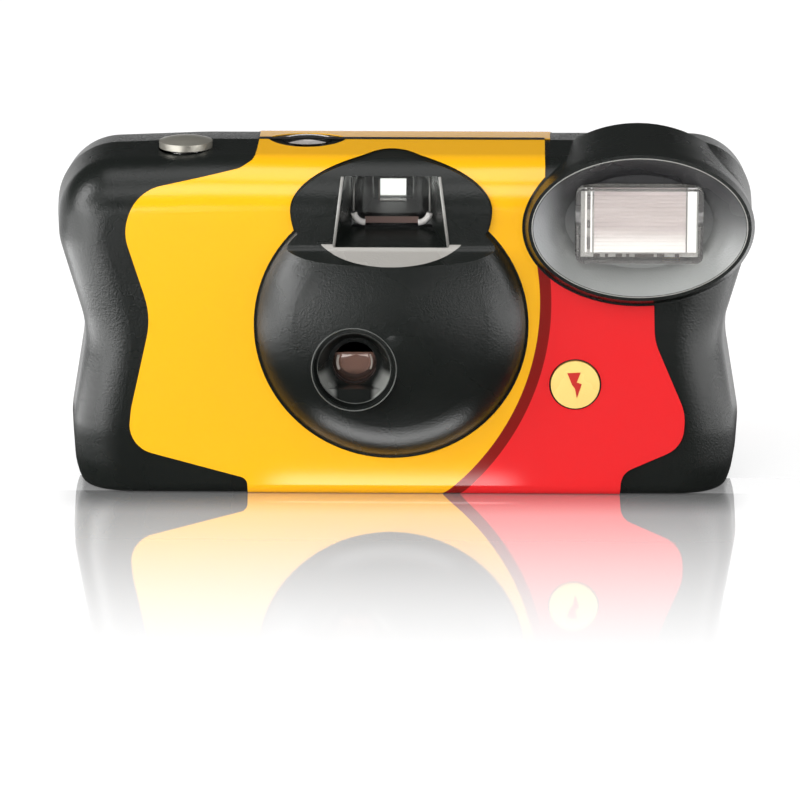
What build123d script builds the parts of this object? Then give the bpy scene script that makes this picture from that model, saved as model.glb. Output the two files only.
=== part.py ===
from build123d import *
import math
import os

os.makedirs("parts", exist_ok=True)

# All sizes are millimetres: X to the right seen from the front, Y to the back, Z up.

# Body casing
body_width = 118.0
body_height = 58.0
front_depth = 16.3
rear_depth = 12.8
cover_wall = 1.5
front_draft_deg = 5.0
rear_draft_deg = 3.0
front_round = 8.2
rear_round = 6.0
base_round = 1.8
side_x_shares = (0.950, 0.968, 0.9225, 1.0, 1.0, 0.9864)
side_z_shares = (-0.12, 0.190, 0.4707, 0.7397, 0.7931, 1.0)
side_round_shares = (0.224, 0.241, 0.241, 0.207, 0.345, 0.181)
shoulder_x_share = 0.576
shoulder_z_share = 0.983
shoulder_round_share = 0.690
overrun = 6.0
touch_gap = 0.1
part_gap = 0.3

# Domed lens panel, with its finder head above it
dome_x = -2.0
dome_z = 29.6
dome_radius = 22.8
dome_height = 7.2
dome_crown_radius = 60.0
dome_crown_deg = 16.0
head_half_width = 16.6
head_mid_z = 49.5
head_rise = 7.9
head_drop = 13.0
head_proud = 0.8
ledge_z = 43.0
ledge_fall_deg = 19.6
ledge_round = 1.6

# Finder opening, its window and its eyepiece
finder_top_half_width = 8.1
finder_low_half_width = 9.6
finder_mouth_top_z = 55.3
finder_mouth_low_z = 43.25
finder_lens_width = 13.6
finder_lens_height = 9.0
finder_lens_low_z = 45.2
finder_lens_thickness = 1.5
finder_lens_depth = 6.0
finder_lens_edge = 0.5
finder_lens_hollow = 0.7
finder_wall = 0.9
finder_corner = 1.4
eyepiece_width = 8.0
eyepiece_height = 5.6
eyepiece_z = 48.8
eyepiece_thickness = 1.6
eyepiece_frame_rim = 2.4
eyepiece_frame_proud = 0.7
eyepiece_crown = 0.5
eyepiece_seat = 0.4

# Lens cup and the lens line
lens_x = -8.1
lens_z = 23.65
cup_ring_radius = 7.2
cup_ring_width = 0.5
cup_ring_proud = 0.25
cup_shelf_radius = 5.9
cup_shelf_drop = 1.1
cup_mouth_radius = 6.5
cup_floor_radius = 4.4
cup_depth = 4.2
cup_floor_wall = 0.8
cup_wall = 0.9
cup_flat_drop = 3.75
cup_bore_radius = 3.7
lens_radius = 4.2
lens_edge = 1.3
lens_front_bow = 0.7
lens_rear_bow = 0.35
retainer_radius = 5.4
retainer_bore = 3.75
retainer_thickness = 0.8
retainer_rim = 0.45

# Flash housing, window, reflector and tube
flash_x = 39.5
flash_rim_z = 47.3
flash_rim_half_width = 18.6
flash_rim_half_height = 12.5
flash_rim_proud = 3.5
flash_base_z = 46.7
flash_base_half_width = 19.3
flash_base_half_height = 13.3
flash_seam_z = 44.0
flash_seam_half_width = 19.3
flash_seam_half_height = 17.0
flash_rear_z = 43.2
flash_rear_half_width = 15.0
flash_rear_half_height = 13.0
flash_rear_depth = 10.5
flash_rear_round = 4.0
flash_rim_wall = 2.5
dish_rim_land = 0.8
dish_floor_half_width = 12.4
dish_floor_half_height = 8.0
dish_depth = 5.0
dish_wall = 1.2
window_width = 21.2
window_height = 12.8
window_corner = 1.2
window_sunk = 1.5
window_flange = 0.8
window_flange_thickness = 0.8
window_wall = 1.4
window_fit = 0.1
reflector_width = 18.3
reflector_depth = 6.4
reflector_half_height = 5.9
reflector_wall = 0.5
tube_radius = 1.5
tube_length = 22.0
tube_from_back = 3.2
tube_hole_gap = 0.2
lead_radius = 0.35
lead_forward = 0.9

# Film, cartridge and the two chambers
film_width = 35.0
film_thickness = 0.15
film_back_gap = 0.95
frame_width = 36.0
frame_height = 24.0
perforation_pitch = 4.75
perforation_width = 1.98
perforation_height = 2.8
perforation_from_centre = 14.1
cartridge_radius = 12.4
cartridge_height = 42.9
gate_left_margin = 0.85
cartridge_rear_gap = 0.3
can_wall = 0.4
cap_height = 2.6
cap_lip = 0.35
can_fit = 0.03
cap_hole_radius = 4.6
lip_start = 3.0
lip_length = 10.7
lip_height = 37.4
lip_thickness = 0.35
felt_gap = 0.1
knob_radius = 3.6
knob_hollow_radius = 2.9
knob_length = 4.6
knob_web = 1.0
knob_web_height = 0.8
spool_core_radius = 5.2
spool_flange_radius = 10.6
spool_flange_thickness = 0.8
spool_hub_radius = 4.4
chamber_gap = 0.35
chamber_wall = 0.9
supply_chamber_radius = 10.5
supply_margin = 3.1
supply_y = 5.5
roll_radius = 9.0
roll_core_radius = 5.0
supply_flange_radius = 9.6
supply_flange_thickness = 0.8
supply_flange_gap = 0.35
supply_core_wall = 1.2
supply_pin_radius = 2.0
supply_pin_fit = 0.1
supply_roof_gap = 0.7
film_roll_gap = 0.1
film_hold_deg = 70.0

# Main frame
deck_thickness = 1.0
deck_gap = 0.3
gate_plate_thickness = 1.6
gate_film_gap = 0.12
gate_right_margin = 4.0
tunnel_wall = 0.8
tunnel_mouth_half = 5.0
bulkhead_y = -8.0
bulkhead_thickness = 1.0
bulkhead_left_margin = 15.9
bulkhead_right_margin = 20.1
bulkhead_low_z = 15.6
bulkhead_corner = 3.0
lens_port_radius = 3.4
frame_clearance = 0.2
frame_floor_z = 3.0
frame_floor_thickness = 1.2
finder_well_gap = 0.4
sprocket_slot_gap = 0.4
lamp_post_width = 3.2
lamp_post_depth = 3.4
board_rib_width = 2.0

# Wind-on: wheel, sprocket, cam and counter
wheel_radius = 12.4
wheel_gap = 1.2
wheel_thickness = 4.2
wheel_show = 1.2
wheel_notches = 44
wheel_notch_depth = 0.5
wheel_notch_width = 0.8
wheel_dish_radius = 9.2
wheel_dish_depth = 0.8
wheel_hub_radius = 5.2
wheel_hub_fit = 0.12
wheel_hub_engage = 1.6
knob_pocket_radius = 4.2
knob_pocket_gap = 0.5
fork_width = 4.6
fork_thickness = 1.4
fork_length = 4.0
scoop_width = 25.0
scoop_height = 6.0
scoop_corner = 2.8
slot_gap = 0.4
sprocket_x = -18.0
sprocket_teeth = 8
sprocket_disc_radius = 5.35
sprocket_disc_thickness = 2.0
sprocket_tooth_reach = 0.7
sprocket_tooth_base = 1.5
sprocket_tooth_tip = 0.8
shaft_radius = 1.4
shaft_fit = 0.1
shaft_foot_radius = 1.0
shaft_foot_length = 1.2
cam_radius = 3.6
cam_lobe_reach = 1.6
cam_thickness = 2.4
cam_gap = 0.3
finger_radius = 1.0
finger_reach = 3.1
finger_width = 0.8
finger_height = 1.6
counter_x = -18.5
counter_y = -0.5
counter_radius = 6.4
counter_teeth = 30
counter_tooth_depth = 0.8
counter_thickness = 2.2
counter_top_gap = 1.4
counter_hub_radius = 2.4
post_radius = 1.2
post_fit = 0.08
window_disc_x = -16.5
window_disc_y = 4.9
window_disc_radius = 4.2
window_disc_crown = 0.45
window_disc_flange = 0.7
window_disc_flange_thickness = 0.8
window_disc_fit = 0.1
eye_half_length = 6.7
eye_half_width = 5.0

# Release: button, spring, lever
button_x = -36.9
button_y = 0.9
button_radius = 4.5
button_crown = 0.7
button_proud = 0.6
button_fit = 0.12
button_travel = 1.2
button_stem_radius = 1.5
button_skirt = 0.8
button_well_depth = 1.8
button_well_floor = 0.8
button_well_wall = 0.9
button_wall = 0.8
spring_wire_radius = 0.14
spring_coil_radius = 2.7
spring_turns = 2
lever_thickness = 1.0
lever_over_wheel = 1.6
lever_width = 2.0
lever_pad_radius = 1.6
lever_pivot_x = -27.6
lever_pivot_z = 52.3
lever_back_y = -3.5
lever_front_y = -5.4
lever_tail_x = -25.9
lever_tail_z = 49.7
lever_tail_width = 1.6
lever_pin_radius = 0.7
lever_pin_fit = 0.08
lever_hub_radius = 1.3
lever_bracket_thickness = 1.0
lever_bracket_width = 2.0

# Shutter: housing plate, blade, striker and springs
plate_thickness = 1.2
plate_gap = 1.4
plate_radius = 18.6
plate_high_z = 41.0
barrel_wall = 1.2
lens_seat_gap = 0.1
pillar_radius = 1.2
pillar_x_shares = (-0.667, 0.59, 0.59)
pillar_z_shares = (-0.634, -0.46, 0.37)
blade_pivot_x = -15.5
blade_pivot_z = 30.5
blade_thickness = 0.3
blade_gap = 0.25
blade_disc_radius = 2.7
blade_arm_width = 2.6
blade_hub_radius = 2.2
blade_pin_radius = 0.8
blade_pin_fit = 0.06
blade_tab_x = -19.1
blade_tab_z = 44.6
blade_tab_width = 1.6
aperture_radius = 1.6
aperture_thickness = 0.4
aperture_width = 10.0
aperture_height = 9.0
striker_thickness = 1.2
striker_gap = 1.1
striker_hub_radius = 2.8
striker_arm_width = 1.1
striker_finger_x = -20.7
striker_finger_y = -8.8
striker_finger_radius = 0.5
striker_finger_low = 43.6
striker_nose_x = -24.2
striker_nose_y = -4.2
striker_nose_width = 2.0
striker_slot_left = 1.4
striker_slot_right = 8.2
coil_wire_radius = 0.11
coil_pitch = 0.24
coil_turns = 2
coil_gap = 0.3
coil_leg = 3.4

# Flash electrics
battery_radius = 7.25
battery_length = 49.5
battery_nub_radius = 2.75
battery_nub_length = 1.0
battery_x = 45.2
battery_rear_gap = 0.75
battery_low_z = 3.6
battery_sleeve = 0.1
battery_crimp = 0.5
cradle_gap = 0.3
cradle_wall = 0.9
cradle_low_z = 6.0
cradle_high_z = 36.0
cradle_link_width = 1.5
contact_thickness = 0.3
contact_width = 8.0
contact_bump_radius = 1.6
contact_strip_width = 3.0
contact_foot_rise = 4.0
board_thickness = 1.0
board_left_x = 14.0
board_right_x = 49.0
board_low_z = 4.8
board_high_z = 37.0
board_front_y = -8.0
board_corner = 1.5
capacitor_radius = 6.4
capacitor_length = 28.0
capacitor_x = -9.0
capacitor_y = -3.1
capacitor_z = 8.6
capacitor_groove = 0.5
capacitor_groove_in = 3.0
capacitor_cradle_wall = 1.0
transformer_x = 43.5
transformer_z = 26.5
transformer_width = 7.5
transformer_height = 8.5
transformer_depth = 6.6
transformer_core = 1.6
trigger_x = 39.5
trigger_z = 17.0
trigger_radius = 2.6
trigger_length = 6.0
transistor_x = 46.0
transistor_z = 10.0
transistor_size = 4.4
transistor_depth = 3.4
resistor_radius = 0.9
resistor_length = 5.2
resistor_count = 3
resistor_low_z = 6.6
resistor_step = 2.3
resistor_x = 39.6
flash_button_x = 29.0
flash_button_z = 19.5
flash_button_radius = 4.1
flash_button_proud = 0.5
flash_button_crown = 0.35
flash_button_fit = 0.12
flash_button_flange = 1.0
flash_button_flange_thickness = 0.6
flash_button_stem_radius = 1.4
flash_button_travel = 0.8
leaf_thickness = 0.2
leaf_width = 3.0
leaf_length = 12.0
sync_leaf_width = 1.6
sync_leaf_length = 9.0
sync_leaf_x = -22.2
sync_leaf_low_z = 32.0
sync_leaf_gap = 0.4
ready_x = 12.5
ready_z = 49.6
ready_radius = 1.7
ready_proud = 0.3
ready_lamp_radius = 1.5
ready_lamp_length = 6.0
ready_fit = 0.1

# Labels, stuck on the casing
label_thickness = 0.15
label_lift = 0.05
label_gap = 0.3
label_left_shares = (
    (-0.444, -0.14), (-0.447, 0.048), (-0.790, 0.143), (-0.778, 0.259), (-0.717, 0.534),
    (-0.795, 0.784), (-0.756, 0.903), (-0.466, 0.962), (-0.417, 0.986), (-0.417, 1.14))
label_left_round_shares = (0.026, 0.086, 0.207, 0.241, 0.138, 0.121, 0.052, 0.034)
label_right_shares = (
    (0.402, 1.14), (0.402, 0.828), (0.695, 0.828), (0.714, 0.566), (0.717, 0.466),
    (0.807, 0.250), (0.800, 0.148), (0.627, 0.069), (0.610, -0.14))
label_right_round_shares = (0.009, 0.009, 0.034, 0.155, 0.138, 0.086, 0.052)

# Places that follow from the sizes above
half_width = body_width / 2
total_depth = dome_height + front_depth + rear_depth + eyepiece_frame_proud
seam_y = total_depth / 2 - rear_depth - eyepiece_frame_proud
front_y = seam_y - front_depth
rear_y = seam_y + rear_depth
inner_front_y = front_y + cover_wall
inner_rear_y = rear_y - cover_wall
inner_top_z = body_height - cover_wall
head_y = front_y - head_proud
rim_y = front_y - flash_rim_proud
film_y = inner_rear_y - film_back_gap - film_thickness
film_z = lens_z
gate_x = lens_x
gate_right_x = gate_x + frame_width / 2
gate_left_x = gate_x - frame_width / 2
cartridge_y = inner_rear_y - cartridge_rear_gap - cartridge_radius
cartridge_low_z = film_z - cartridge_height / 2
cartridge_high_z = film_z + cartridge_height / 2
chamber_radius = cartridge_radius + chamber_gap
cartridge_x = gate_left_x - gate_left_margin - chamber_radius
deck_low_z = cartridge_high_z + deck_gap
deck_high_z = deck_low_z + deck_thickness
supply_x = gate_right_x + supply_margin + supply_chamber_radius
wheel_low_z = deck_high_z + wheel_gap
wheel_high_z = wheel_low_z + wheel_thickness
finder_lens_y = front_y + finder_lens_depth
finder_lens_z = finder_lens_low_z + finder_lens_height / 2
perforation_z = film_z + perforation_from_centre
sprocket_pitch_radius = sprocket_teeth * perforation_pitch / (2 * math.pi)
sprocket_y = film_y + film_thickness - sprocket_pitch_radius
sprocket_low_z = perforation_z - sprocket_disc_thickness / 2
sprocket_high_z = perforation_z + sprocket_disc_thickness / 2
counter_high_z = inner_top_z - window_disc_flange_thickness - counter_top_gap
counter_low_z = counter_high_z - counter_thickness
striker_low_z = deck_high_z + striker_gap
striker_high_z = striker_low_z + striker_thickness
lever_low_z = wheel_high_z + lever_over_wheel
lever_high_z = lever_low_z + lever_thickness
plate_back_y = bulkhead_y - plate_gap
plate_front_y = plate_back_y - plate_thickness
dish_floor_y = rim_y + dish_depth
dish_back_y = dish_floor_y + dish_wall
window_front_y = rim_y + window_sunk
reflector_front_y = dish_back_y + window_flange_thickness + touch_gap
reflector_back_y = reflector_front_y + reflector_depth
finder_lens_back_y = finder_lens_y + finder_lens_thickness
tube_y = reflector_back_y - tube_from_back
window_z = flash_rim_z
battery_y = inner_rear_y - battery_rear_gap - battery_radius
battery_high_z = battery_low_z + battery_length
supply_roof_z = film_z + film_width / 2 + supply_flange_gap + supply_flange_thickness + supply_roof_gap
well_floor_z = body_height - button_well_depth
button_roof_z = body_height + button_proud - button_wall
board_back_y = board_front_y + board_thickness
ledge_slope = math.tan(math.radians(ledge_fall_deg))


def front_plane(y):
    """A plane that faces the front: its own x is X and its own y is Z."""
    return Plane(origin=(0, y, 0), x_dir=(1, 0, 0), z_dir=(0, -1, 0))


def slab(sketch, y_front, y_back):
    """An X-Z outline made solid between two depths."""
    return extrude(front_plane(y_back) * sketch, amount=y_back - y_front)


def layer(sketch, z_low, z_high):
    """An X-Y outline made solid between two heights."""
    return extrude(Pos(0, 0, z_low) * sketch, amount=z_high - z_low)


def round_slab(x, z, radius, y_front, y_back):
    return slab(Pos(x, z) * Circle(radius), y_front, y_back)


def round_layer(x, y, radius, z_low, z_high):
    return layer(Pos(x, y) * Circle(radius), z_low, z_high)


def block(x_low, x_high, y_low, y_high, z_low, z_high):
    """A box given by its limits."""
    mid_x = (x_low + x_high) / 2
    mid_y = (y_low + y_high) / 2
    return layer(Pos(mid_x, mid_y) * Rectangle(x_high - x_low, y_high - y_low), z_low, z_high)


def below(z):
    """Everything under a height."""
    return block(-body_width, body_width, -body_width, body_width, z - body_width, z)


def bar(start, end, width):
    """A flat bar outline with round ends between two points of a plane."""
    length = math.dist(start, end)
    angle = math.degrees(math.atan2(end[1] - start[1], end[0] - start[0]))
    middle = ((start[0] + end[0]) / 2, (start[1] + end[1]) / 2)
    return Pos(*middle) * Rot(0, 0, angle) * SlotCenterToCenter(length, width)


def body_outline():
    """The wavy front view of the casing, with its keel carried below the base."""
    right = [(half_width * x, body_height * z) for x, z in zip(side_x_shares, side_z_shares)]
    left = [(-x, z) for x, z in reversed(right)]
    left[0] = (left[0][0], shoulder_z_share * body_height)
    shoulder = (-half_width * shoulder_x_share, body_height)
    shares = [*side_round_shares, shoulder_round_share, *reversed(side_round_shares)]
    rounds = [body_height * share for share in shares]
    return make_face(FilletPolyline(*right, shoulder, *left, radius=rounds, close=True))


def casing_form(depth, draft_deg, round_over, grow):
    """Half of the casing, drafted from the seam at z 0 to a rounded end."""
    outline = body_outline()
    if grow != 0:
        outline = offset(outline, amount=grow)
    reach = depth + grow
    end = offset(outline, amount=-reach * math.tan(math.radians(draft_deg)))
    form = loft([outline, Pos(0, 0, reach) * end], ruled=True)
    end_edges = form.faces().sort_by(Axis.Z)[-1].edges()
    return Rot(90, 0, 0) * fillet(end_edges, round_over + grow)


def stand_flat(form, grow, seam_side):
    """Cuts the keel off at the base and rounds the edge that is left, but not at the seam."""
    form = form - below(-grow)
    base = form.faces().sort_by(Axis.Z)[0]
    edges = [edge for edge in base.edges() if abs(edge.center().Y - seam_side) > touch_gap]
    return fillet(edges, base_round + grow)


def front_form(grow):
    form = casing_form(front_depth, front_draft_deg, front_round, grow)
    return stand_flat(Pos(0, seam_y, 0) * form, grow, seam_y)


def rear_form(grow):
    form = casing_form(rear_depth, rear_draft_deg, rear_round, grow)
    form = mirror(form, about=Plane.XZ)
    return stand_flat(Pos(0, seam_y, 0) * form, grow, seam_y)


def dome_form(grow):
    """The domed lens panel: a flat crown that turns into a steeper rim."""
    angle = math.radians(dome_crown_deg)
    drop = dome_height - dome_crown_radius
    span = dome_crown_radius ** 2 - dome_radius ** 2 - drop ** 2
    lean = dome_crown_radius - dome_radius * math.sin(angle) + drop * math.cos(angle)
    centre_gap = span / (2 * lean)
    rim_x = centre_gap * math.sin(angle)
    rim_h = drop + centre_gap * math.cos(angle)
    crown = dome_crown_radius + grow
    rim = dome_crown_radius - centre_gap + grow
    low = -2 * cover_wall
    turn_x = crown * math.sin(angle)
    turn_h = drop + crown * math.cos(angle)
    half = angle / 2
    edge_x = rim_x + math.sqrt(rim ** 2 - (low - rim_h) ** 2)
    mid = (angle + math.atan2(edge_x - rim_x, low - rim_h)) / 2
    crown_arc = ThreePointArc(
        (0, drop + crown), (crown * math.sin(half), drop + crown * math.cos(half)), (turn_x, turn_h))
    rim_arc = ThreePointArc(
        (turn_x, turn_h), (rim_x + rim * math.sin(mid), rim_h + rim * math.cos(mid)), (edge_x, low))
    sides = Polyline((edge_x, low), (0, low), (0, drop + crown))
    section = make_face([crown_arc, rim_arc, sides])
    solid = revolve(Plane.XZ * section, Axis.Z)
    return Pos(dome_x, front_y, dome_z) * Rot(90, 0, 0) * solid


def head_sketch(grow):
    """The finder head's outline, a low arch over a deeper bowl."""
    wide = head_half_width + grow
    arch = EllipticalCenterArc((dome_x, head_mid_z), wide, head_rise + grow, 0, arc_size=180)
    bowl = EllipticalCenterArc((dome_x, head_mid_z), wide, head_drop + grow, 180, arc_size=180)
    return make_face([arch, bowl])


def head_form():
    """The finder head stands a little proud of the front and follows its rounded top."""
    proud = casing_form(front_depth, front_draft_deg, front_round, head_proud)
    proud = Pos(0, seam_y, 0) * proud
    return proud & slab(head_sketch(0), head_y - overrun, seam_y)


def ledge_cut(grow):
    """What is taken off the dome above the sloping ledge and in front of the finder head."""
    back = head_y + grow
    front = head_y - dome_height - overrun
    low = ledge_z - grow
    profile = Polyline(
        (back, low), (back, body_height + overrun), (front, body_height + overrun),
        (front, low + (front - back) * ledge_slope), close=True)
    face = make_face(profile)
    face = fillet(face.vertices().group_by(Axis.Y)[1], ledge_round)
    span = dome_radius + overrun
    side = Plane(origin=(dome_x - span, 0, 0), x_dir=(0, 1, 0), z_dir=(1, 0, 0))
    return extrude(side * face, amount=2 * span)


def ellipse_at(y, z, half_x, half_z):
    return front_plane(y) * (Pos(flash_x, z) * Ellipse(half_x, half_z))


def flash_form(grow, rim_setback):
    """The flash housing: a tapered oval boss that runs back to the seam as a hood."""
    rim = ellipse_at(
        rim_y + rim_setback, flash_rim_z, flash_rim_half_width + grow, flash_rim_half_height + grow)
    base = ellipse_at(
        front_y, flash_base_z, flash_base_half_width + grow, flash_base_half_height + grow)
    seam = ellipse_at(
        seam_y, flash_seam_z, flash_seam_half_width + grow, flash_seam_half_height + grow)
    return loft([base, rim], ruled=True) + loft([seam, base], ruled=True)


def flash_rear_form(grow):
    """The hood's rear end, which dies into the rear cover."""
    seam = ellipse_at(
        seam_y, flash_seam_z, flash_seam_half_width + grow, flash_seam_half_height + grow)
    end = ellipse_at(
        seam_y + flash_rear_depth + grow, flash_rear_z, flash_rear_half_width + grow,
        flash_rear_half_height + grow)
    solid = loft([seam, end], ruled=True)
    edge = solid.faces().sort_by(Axis.Y)[-1].edges()
    return fillet(edge, flash_rear_round + grow)


def dish_form():
    """The hollow of the flash dish, from its rim to its floor."""
    widen = (flash_rim_half_width - dish_rim_land - dish_floor_half_width) / dish_depth
    heighten = (flash_rim_half_height - dish_rim_land - dish_floor_half_height) / dish_depth
    reach = dish_depth + overrun
    mouth = ellipse_at(
        rim_y - overrun, flash_rim_z, dish_floor_half_width + reach * widen,
        dish_floor_half_height + reach * heighten)
    floor = ellipse_at(
        dish_floor_y, flash_rim_z, dish_floor_half_width, dish_floor_half_height)
    return loft([floor, mouth], ruled=True)


def dish_shell():
    """The dish's wall and floor, from inside the rim to the window's seat."""
    inset = cover_wall + touch_gap
    front = ellipse_at(
        rim_y + flash_rim_wall - part_gap, flash_rim_z, flash_rim_half_width - inset,
        flash_rim_half_height - inset)
    back = ellipse_at(
        dish_back_y, flash_rim_z, dish_floor_half_width + dish_wall,
        dish_floor_half_height + dish_wall)
    return loft([back, front], ruled=True)


def window_sketch(grow):
    size = (window_width + 2 * grow, window_height + 2 * grow)
    return Pos(flash_x, window_z) * RectangleRounded(*size, window_corner + grow)


def finder_sketch(low_half, top_half, low_z, top_z, grow):
    """A finder section, wider at the foot than at the top."""
    corners = (
        (dome_x - low_half, low_z), (dome_x + low_half, low_z),
        (dome_x + top_half, top_z), (dome_x - top_half, top_z))
    face = make_face(Polyline(*corners, close=True))
    if grow:
        face = offset(face, amount=grow, kind=Kind.INTERSECTION)
    return face


def finder_funnel(grow, y_front):
    """The funnel from the head's mouth back to the front finder window."""
    lens_half = finder_lens_width / 2
    top_z = finder_lens_low_z + finder_lens_height
    back = finder_sketch(lens_half, lens_half, finder_lens_low_z, top_z, grow)
    mouth = finder_sketch(
        finder_low_half_width, finder_top_half_width, finder_mouth_low_z, finder_mouth_top_z, grow)
    return loft([front_plane(finder_lens_y) * back, front_plane(y_front) * mouth], ruled=True)


def cup_turned(radii_depths):
    """A turned shape on the lens line, from radius and depth pairs."""
    face = make_face(Polyline(*radii_depths, close=True))
    solid = revolve(Plane.XZ * face, Axis.Z)
    return Pos(lens_x, 0, lens_z) * Rot(90, 0, 0) * solid


def dome_surface_y(x, z):
    """Depth of the dome's crown at a place on the front."""
    reach_squared = (x - dome_x) ** 2 + (z - dome_z) ** 2
    rise = math.sqrt(dome_crown_radius ** 2 - reach_squared)
    return front_y - (dome_height - dome_crown_radius + rise)


cup_face_y = dome_surface_y(lens_x, lens_z)
cup_shelf_y = cup_face_y + cup_shelf_drop
cup_floor_y = cup_face_y + cup_depth
cup_back_y = cup_floor_y + cup_floor_wall
lens_front_y = cup_back_y + touch_gap


def cup_ring():
    """The thin raised ring round the lens cup."""
    outer = cup_ring_radius
    inner = cup_ring_radius - cup_ring_width
    front = -(cup_face_y - cup_ring_proud)
    back = -(cup_face_y + cup_depth)
    return cup_turned([(inner, front), (outer, front), (outer, back), (inner, back)])


def cup_hollow():
    """The stepped lens cup with a flat across its foot."""
    shallow = cup_turned([
        (0, -(cup_face_y - overrun)), (cup_mouth_radius + touch_gap, -(cup_face_y - overrun)),
        (cup_mouth_radius, -(cup_face_y - cup_ring_proud)), (cup_shelf_radius, -cup_shelf_y),
        (0, -cup_shelf_y)])
    deep = cup_turned([
        (0, -(cup_shelf_y - touch_gap)), (cup_shelf_radius, -(cup_shelf_y - touch_gap)),
        (cup_floor_radius, -cup_floor_y), (0, -cup_floor_y)])
    keep_low = block(
        lens_x - cup_ring_radius, lens_x + cup_ring_radius, cup_shelf_y, cup_floor_y + overrun,
        lens_z - cup_ring_radius, lens_z - cup_flat_drop)
    bore = round_slab(lens_x, lens_z, cup_bore_radius, cup_shelf_y, cup_back_y + overrun)
    return shallow + (deep - keep_low) + bore


def cup_body():
    """The wall of the lens cup inside the dome."""
    outer = cup_shelf_radius + cup_wall
    tail = cup_floor_radius + cup_wall
    return cup_turned([
        (0, -cup_face_y), (outer, -cup_face_y), (outer, -(cup_shelf_y + cup_wall)),
        (tail, -cup_back_y), (0, -cup_back_y)])


def eye_sketch(grow):
    """The pointed oval round the counter window."""
    radius = (eye_half_length ** 2 + eye_half_width ** 2) / (2 * eye_half_width)
    shift = radius - eye_half_width
    near = Pos(window_disc_x, window_disc_y + shift) * Circle(radius + grow)
    far = Pos(window_disc_x, window_disc_y - shift) * Circle(radius + grow)
    return near & far


def label_sketch():
    """The coloured label's outline on the front, cut out round the panel and the flash."""
    points = [(half_width * x, body_height * z) for x, z in (*label_left_shares, *label_right_shares)]
    shares = [*label_left_round_shares, 0, 0, *label_right_round_shares]
    rounds = [body_height * share for share in shares]
    outline = make_face(Polyline(points[-1], points[0]) + FilletPolyline(*points, radius=rounds))
    panel = Pos(dome_x, dome_z) * Circle(dome_radius + label_gap)
    flash = Pos(flash_x, flash_base_z) * Ellipse(
        flash_base_half_width + label_gap, flash_base_half_height + label_gap)
    button = Pos(flash_button_x, flash_button_z) * Circle(flash_button_radius + label_gap)
    return outline - (panel + head_sketch(label_gap) + flash + button)


def rear_label_sketch():
    """The rear label covers the same middle of the back and the top."""
    points = [(half_width * x, body_height * z) for x, z in label_left_shares]
    other = [(-x, z) for x, z in reversed(points)]
    shares = [*label_left_round_shares, 0, 0, *reversed(label_left_round_shares)]
    rounds = [body_height * share for share in shares]
    return make_face(Polyline(other[-1], points[0]) + FilletPolyline(*points, *other, radius=rounds))


def button_well(grow):
    """The round well that the shutter button sits in."""
    radius = button_radius + button_fit + grow
    return round_layer(button_x, button_y, radius, well_floor_z - grow, body_height + overrun)


def front_cover():
    """Drafted front shell with the domed panel, finder head, lens cup and flash housing."""
    panel = dome_form(0) + head_form() - ledge_cut(0)
    outer = front_form(0) + panel + flash_form(0, 0)
    inner_panel = dome_form(-cover_wall) - ledge_cut(cover_wall)
    inner = front_form(-cover_wall) + inner_panel + flash_form(-cover_wall, flash_rim_wall)
    cover = outer - inner + dish_shell()
    funnel = finder_funnel(finder_wall, head_y) & outer
    well = round_layer(
        button_x, button_y, button_radius + button_fit + button_well_wall,
        body_height - button_well_depth - button_well_floor, inner_top_z) & outer
    cup = cup_body() & outer
    cover = cover + funnel + well + cup + cup_ring()
    cover = cover - finder_funnel(0, head_y) - slab(
        finder_sketch(
            finder_low_half_width, finder_top_half_width, finder_mouth_low_z,
            finder_mouth_top_z, 0), head_y - dome_height, head_y)
    cover = cover - cup_hollow() - dish_form()
    cover = cover - slab(window_sketch(window_fit), rim_y, dish_back_y + overrun)
    cover = cover - button_well(0)
    cover = cover - round_layer(
        button_x, button_y, button_stem_radius + button_fit, inner_top_z - overrun, body_height)
    cover = cover - round_slab(
        flash_button_x, flash_button_z, flash_button_radius + flash_button_fit, rim_y, 0)
    cover = cover - round_layer(
        window_disc_x, window_disc_y, window_disc_radius + window_disc_fit, counter_high_z,
        body_height + overrun)
    return cover


def label_skin(form, prism):
    """The thin sheet of a label, just clear of the casing under it."""
    prism = prism - layer(eye_sketch(0), body_height / 2, body_height + overrun)
    return (prism & form(label_lift + label_thickness)) - form(label_lift) - below(label_lift)


def front_label():
    """Coloured label round the front, from the base over the top to the seam."""
    prism = slab(label_sketch(), front_y - overrun, seam_y - label_gap / 2)
    return label_skin(front_form, prism)


def rear_label():
    """Coloured label over the middle of the back."""
    prism = slab(rear_label_sketch(), seam_y + label_gap / 2, rear_y + overrun)
    frame = Pos(dome_x, eyepiece_z) * RectangleRounded(
        eyepiece_width + 2 * (eyepiece_frame_rim + label_gap),
        eyepiece_height + 2 * (eyepiece_frame_rim + label_gap), finder_corner)
    lamp = Pos(ready_x, ready_z) * Circle(ready_radius + 2 * label_gap)
    scoop = Pos(cartridge_x, scoop_z) * RectangleRounded(
        scoop_width + 2 * label_gap, scoop_height + 2 * label_gap, scoop_corner)
    prism = prism - slab(frame + lamp + scoop, inner_rear_y, rear_y + overrun)
    return label_skin(rear_form, prism)


scoop_z = (wheel_low_z + wheel_high_z) / 2
scoop_floor_y = cartridge_y + wheel_radius - wheel_show


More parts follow.
